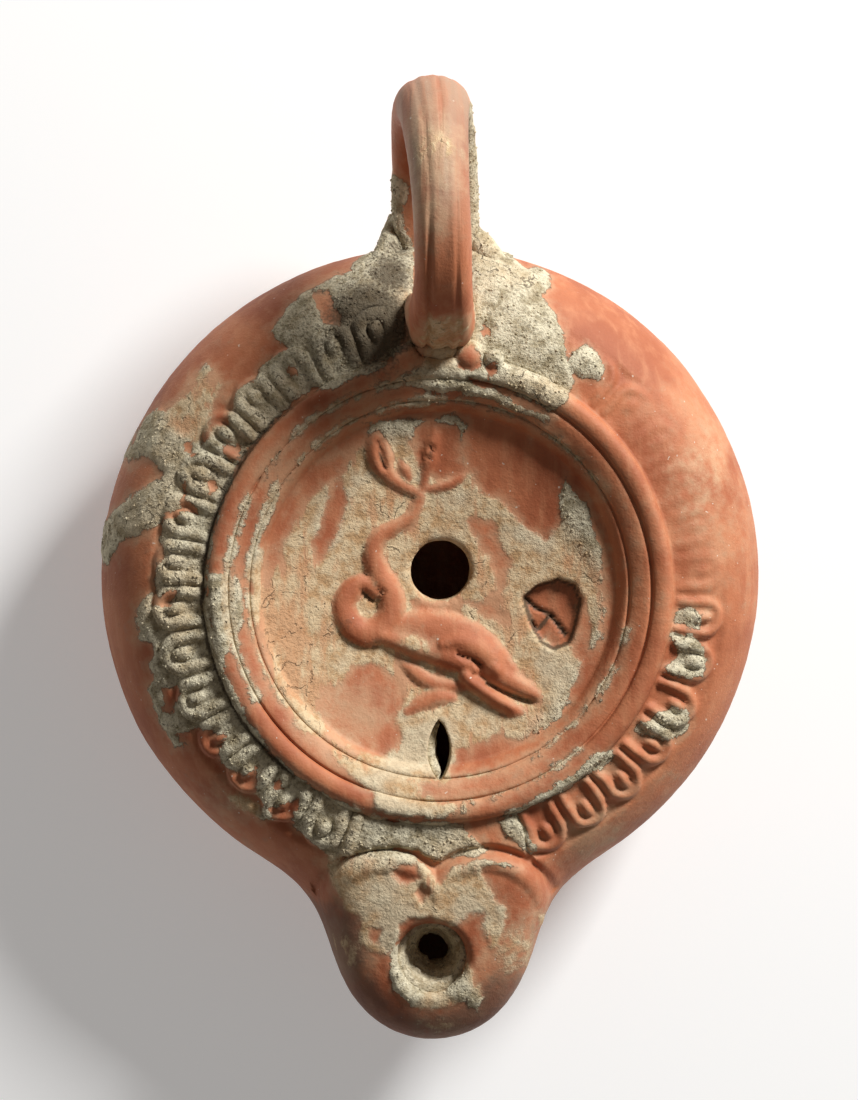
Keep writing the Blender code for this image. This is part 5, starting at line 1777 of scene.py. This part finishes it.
keep_numbers(lamp.data, (np.clip(soil, -MOST_SOIL, MOST_SOIL), warmth, dust, soot, grime))
print("thickest crust, in metres:", raise_crust(lamp, soil, warmth))

# %% [markdown]
# ## Soil in the holes
#
# Soil still lines the wick hole all round, thickest at the front left, and the left wall of the air
# slit. Each lining is a ring that is closed in itself: an outer wall that hides in the clay and a
# rough inner wall. They leave the middle free, so the way to the oil chamber stays open.

# %% Line the wick hole and the air slit with soil
LINING_BEHIND = 0.0002
LINING_ROUGHNESS = 0.12
LINING_LUMP_SIZE = 0.0012
LINING_SEED = 101
LINING_EASE = 1.4
LINING_ROWS = 14
LINING_WARMTH = 0.15
# Painted shade darkens the soil down in the holes.
LINING_PAINTED_SHADE = 0.15
LINING_SOIL = 3.0


def lid_height(radius):
    """The plain lid's height at a distance from the middle of the discus."""
    rim = RIM_TOP - np.interp(RIM_RADIUS - radius, RIM_LINE[:, 0], RIM_LINE[:, 1])
    return np.where(radius < FLOOR_RADIUS, floor_height(radius), rim)


def outward_directions(outline):
    """Unit vectors that point out of a closed outline, whose points run counter-clockwise."""
    along = np.roll(outline, -1, axis=0) - np.roll(outline, 1, axis=0)
    return np.column_stack([along[:, 1], -along[:, 0]]) / np.hypot(*along.T)[:, None]


def make_lining(name, outline, thickness, low, high, top_share):
    """A lining from the hole's outline, with its thickness and its top's height at every point.

    At the top only a share of the thickness is left.
    """
    outward = outward_directions(outline)
    shares = np.linspace(0, 1, LINING_ROWS)
    section = [(1.0, share) for share in shares] + [(0.0, share) for share in shares[::-1]]
    grid = []
    for inward, share in section:
        bulge = blend(1.0, top_share, share ** LINING_EASE)
        reach = LINING_BEHIND - inward * (thickness * bulge + LINING_BEHIND)
        points = np.column_stack([outline + outward * reach[:, None], blend(low, high, share)])
        lumps = layered_noise(points, LINING_LUMP_SIZE, 3, LINING_SEED)
        rough = LINING_ROUGHNESS * inward * thickness * lumps
        points[:, :2] += outward * rough[:, None]
        grid.append(points)
    sides = len(outline)
    faces = []
    for k in range(len(grid)):
        faces += band_faces(k * sides, sides, (k + 1) % len(grid) * sides, sides)
    mesh = bpy.data.meshes.new(name)
    mesh.from_pydata(np.concatenate(grid).tolist(), [], faces)
    point_outwards(mesh)
    mark_as_soil(mesh, LINING_WARMTH, LINING_PAINTED_SHADE)
    return add_object(name, mesh)


def mark_as_soil(mesh, warmth, grime):
    """Gives every point the same numbers: soil and warmth, no dust or soot, and painted shade."""
    everywhere = np.ones(len(mesh.vertices))
    keep_numbers(mesh, [everywhere * value for value in (LINING_SOIL, warmth, 0.0, 0.0, grime)])


WICK_LINING_THIN = 0.00190
WICK_LINING_THICK = 0.0034
WICK_LINING_TOP_SHARE = 0.30
WICK_LINING_THICKEST = math.radians(222)
WICK_LINING_FOOT = NOZZLE_WIDEST_HEIGHT - 0.0005
WICK_LINING_TOP = SHOULDER_HEIGHT - 0.0015
WICK_LINING_TOP_DROP = 0.0022
WICK_LINING_SIDES = 140
wick_outline = circle(WICK_HOLE_AT, WICK_HOLE_RADIUS, WICK_LINING_SIDES)
wick_angles = np.linspace(0, 2 * math.pi, WICK_LINING_SIDES, endpoint=False)
wick_bulk = 0.5 + 0.5 * np.cos(wick_angles - WICK_LINING_THICKEST)
wick_thickness = blend(WICK_LINING_THIN, WICK_LINING_THICK, wick_bulk)
wick_top = WICK_LINING_TOP - WICK_LINING_TOP_DROP * (1 - wick_bulk)
wick_soil = make_lining("wick_soil", wick_outline, wick_thickness, WICK_LINING_FOOT, wick_top,
                        WICK_LINING_TOP_SHARE)

SLIT_LINING_THIN = 0.00010
SLIT_LINING_THICK = 0.00125
SLIT_LINING_EASE = 1.4
SLIT_LINING_TOP_SHARE = 0.85
SLIT_LINING_BELOW_LID = 0.0013
SLIT_LINING_SIDES = 96
slit_outline = pointed_oval(AIR_SLIT_Y, AIR_SLIT_LENGTH, AIR_SLIT_WIDTH, SLIT_LINING_SIDES)
slit_bulk = np.clip(-outward_directions(slit_outline)[:, 0], 0, 1) ** SLIT_LINING_EASE
slit_thickness = blend(SLIT_LINING_THIN, SLIT_LINING_THICK, slit_bulk)
slit_surface = lid_height(np.hypot(*slit_outline.T))
slit_soil = make_lining("slit_soil", slit_outline, slit_thickness, slit_surface - WALL,
                        slit_surface - SLIT_LINING_BELOW_LID, SLIT_LINING_TOP_SHARE)
print("soil in the holes:", triangle_count(wick_soil.data) + triangle_count(slit_soil.data), "triangles")

# %% [markdown]
# ## Grains of soil
#
# The thick crust is gritty: small grains stand out of it. Thousands of grains are a job for
# Geometry Nodes. Points are scattered over the faces where the crust is thick and cold, a small
# rough ball is put on each, turned and sized by seeded random values, and the lot becomes one mesh.

# %% Scatter the grains
GRAIN_INPUTS = {
    "Grains per Square Metre": 1.1e6,
    "Least Soil": 0.35,
    "Most Warmth": 0.55,
    "Smallest": 0.00007,
    "Largest": 0.00019,
    "Lowest": 0.0060,
    "Finish": finish,
}
GRAIN_SEED = 12
GRAIN_FACES = 20
GRAIN_WARMTH = 0.1
FULL_TURN = 6.28


def build_grain_tree():
    tree, given, sink = start_geometry_tree("soil_grains", GRAIN_INPUTS)
    soil = tree.add("GeometryNodeInputNamedAttribute", {"data_type": "FLOAT"}, {"Name": "soil"})
    warmth = tree.add("GeometryNodeInputNamedAttribute", {"data_type": "FLOAT"}, {"Name": "warmth"})
    thick = soil.math("GREATER_THAN", given["Least Soil"]) * warmth.math("LESS_THAN", given["Most Warmth"])
    z = tree.separate(tree.add("GeometryNodeInputPosition"))[2]
    thick = thick * z.math("GREATER_THAN", given["Lowest"])
    points = tree.add("GeometryNodeDistributePointsOnFaces", {"distribute_method": "RANDOM"}, {
        "Mesh": given["Geometry"],
        "Selection": thick,
        "Density": given["Grains per Square Metre"],
        "Seed": GRAIN_SEED,
    })
    ball = tree.add("GeometryNodeMeshIcoSphere", None, {"Radius": 1.0, "Subdivisions": 1})
    size = tree.add("FunctionNodeRandomValue", {"data_type": "FLOAT"},
                    {2: given["Smallest"], 3: given["Largest"], "Seed": GRAIN_SEED + 1}, output=1)
    turn = tree.add("FunctionNodeRandomValue", {"data_type": "FLOAT_VECTOR"},
                    {0: (0.0, 0.0, 0.0), 1: (FULL_TURN, FULL_TURN, FULL_TURN), "Seed": GRAIN_SEED + 2})
    grains = tree.add("GeometryNodeInstanceOnPoints", None,
                      {"Points": points, "Instance": ball, "Rotation": turn, "Scale": size})
    whole = tree.add("GeometryNodeRealizeInstances", None, {"Geometry": grains})
    finished = tree.add("GeometryNodeSetMaterial", None, {"Geometry": whole, "Material": given["Finish"]})
    tree.tree.links.new(finished.socket, sink.inputs[0])
    return tree


grain_mesh = run_geometry_tree(lamp, build_grain_tree(), GRAIN_INPUTS, "soil grains")
mark_as_soil(grain_mesh, GRAIN_WARMTH, 0.0)
soil_grains = add_object("soil_grains", grain_mesh)
grain_triangles = triangle_count(grain_mesh)
print("grains:", grain_triangles // GRAIN_FACES, "with", grain_triangles, "triangles")

# %% [markdown]
# Booleans and joins can leave an empty material slot, so every piece gets the one finish again. The
# large skins are shaded smooth. The grains stay faceted, as broken grit is.

# %% Give every piece the finish
PIECES = (lamp, wick_soil, slit_soil, soil_grains)
for piece in PIECES:
    piece.data.materials.clear()
    piece.data.materials.append(finish)
for piece in (lamp, wick_soil, slit_soil):
    piece.data.shade_smooth()
print("pieces with the finish:", [piece.name for piece in PIECES])

# %% [markdown]
# ## Floor and light
#
# A pale floor and one low, soft light from the back right, as a window gives. It grazes the discus,
# so the far slope of the bowl falls into shadow and the carving stands out. The plain sky fills the
# shadows.

# %% Studio
FLOOR_HALF_WIDTH = 1.5
# The floor lies a hair under the lamp's foot, so that the two faces don't flicker.
FLOOR_LEVEL = -0.00004
floor_corners = [(side_x * FLOOR_HALF_WIDTH, side_y * FLOOR_HALF_WIDTH, FLOOR_LEVEL)
                 for side_x, side_y in ((-1, -1), (1, -1), (1, 1), (-1, 1))]
floor_mesh = bpy.data.meshes.new("studio_floor")
floor_mesh.from_pydata(floor_corners, [], [(0, 1, 2, 3)])
studio_floor = add_object("studio_floor", floor_mesh)

paper = bpy.data.materials.new("pale_paper")
paper.use_nodes = True
paper_surface = paper.node_tree.nodes["Principled BSDF"]
paper_surface.inputs["Base Color"].default_value = (0.80, 0.80, 0.79, 1)
paper_surface.inputs["Roughness"].default_value = 0.9
paper_surface.inputs["Emission Color"].default_value = (1.0, 1.0, 1.0, 1.0)
paper_surface.inputs["Emission Strength"].default_value = 0.26
floor_mesh.materials.append(paper)


def area_light(name, turn, height_angle, distance, size, power):
    """A square light in the direction of an angle round from +X and an angle above the floor."""
    turn, height_angle = math.radians(turn), math.radians(height_angle)
    direction = Vector((math.cos(turn) * math.cos(height_angle), math.sin(turn) * math.cos(height_angle),
                        math.sin(height_angle)))
    light = add_object(name, bpy.data.lights.new(name, "AREA"))
    light.data.size = size
    light.data.energy = power
    light.location = direction * distance
    light.rotation_euler = direction.to_track_quat("Z", "Y").to_euler()
    return light


window = area_light("window_light", turn=52, height_angle=29, distance=0.9, size=0.22, power=12.5)
SKY_COLOUR = (1.0, 0.91, 0.84, 1.0)
SKY_STRENGTH = 0.14
world = bpy.data.worlds.new("studio")
bpy.context.scene.world = world
world.use_nodes = True
sky = world.node_tree.nodes["Background"]
sky.inputs["Color"].default_value = SKY_COLOUR
sky.inputs["Strength"].default_value = SKY_STRENGTH
bpy.context.scene.view_settings.view_transform = "Standard"
print("light at", [round(c, 3) for c in window.location], "with", window.data.energy, "watts")

# %% [markdown]
# ## Hand over
#
# Every piece rides on the one body. The skin stands for the solid lamp.

# %% Hand over
for piece in PIECES:
    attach(piece, "root")
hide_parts("lamp")
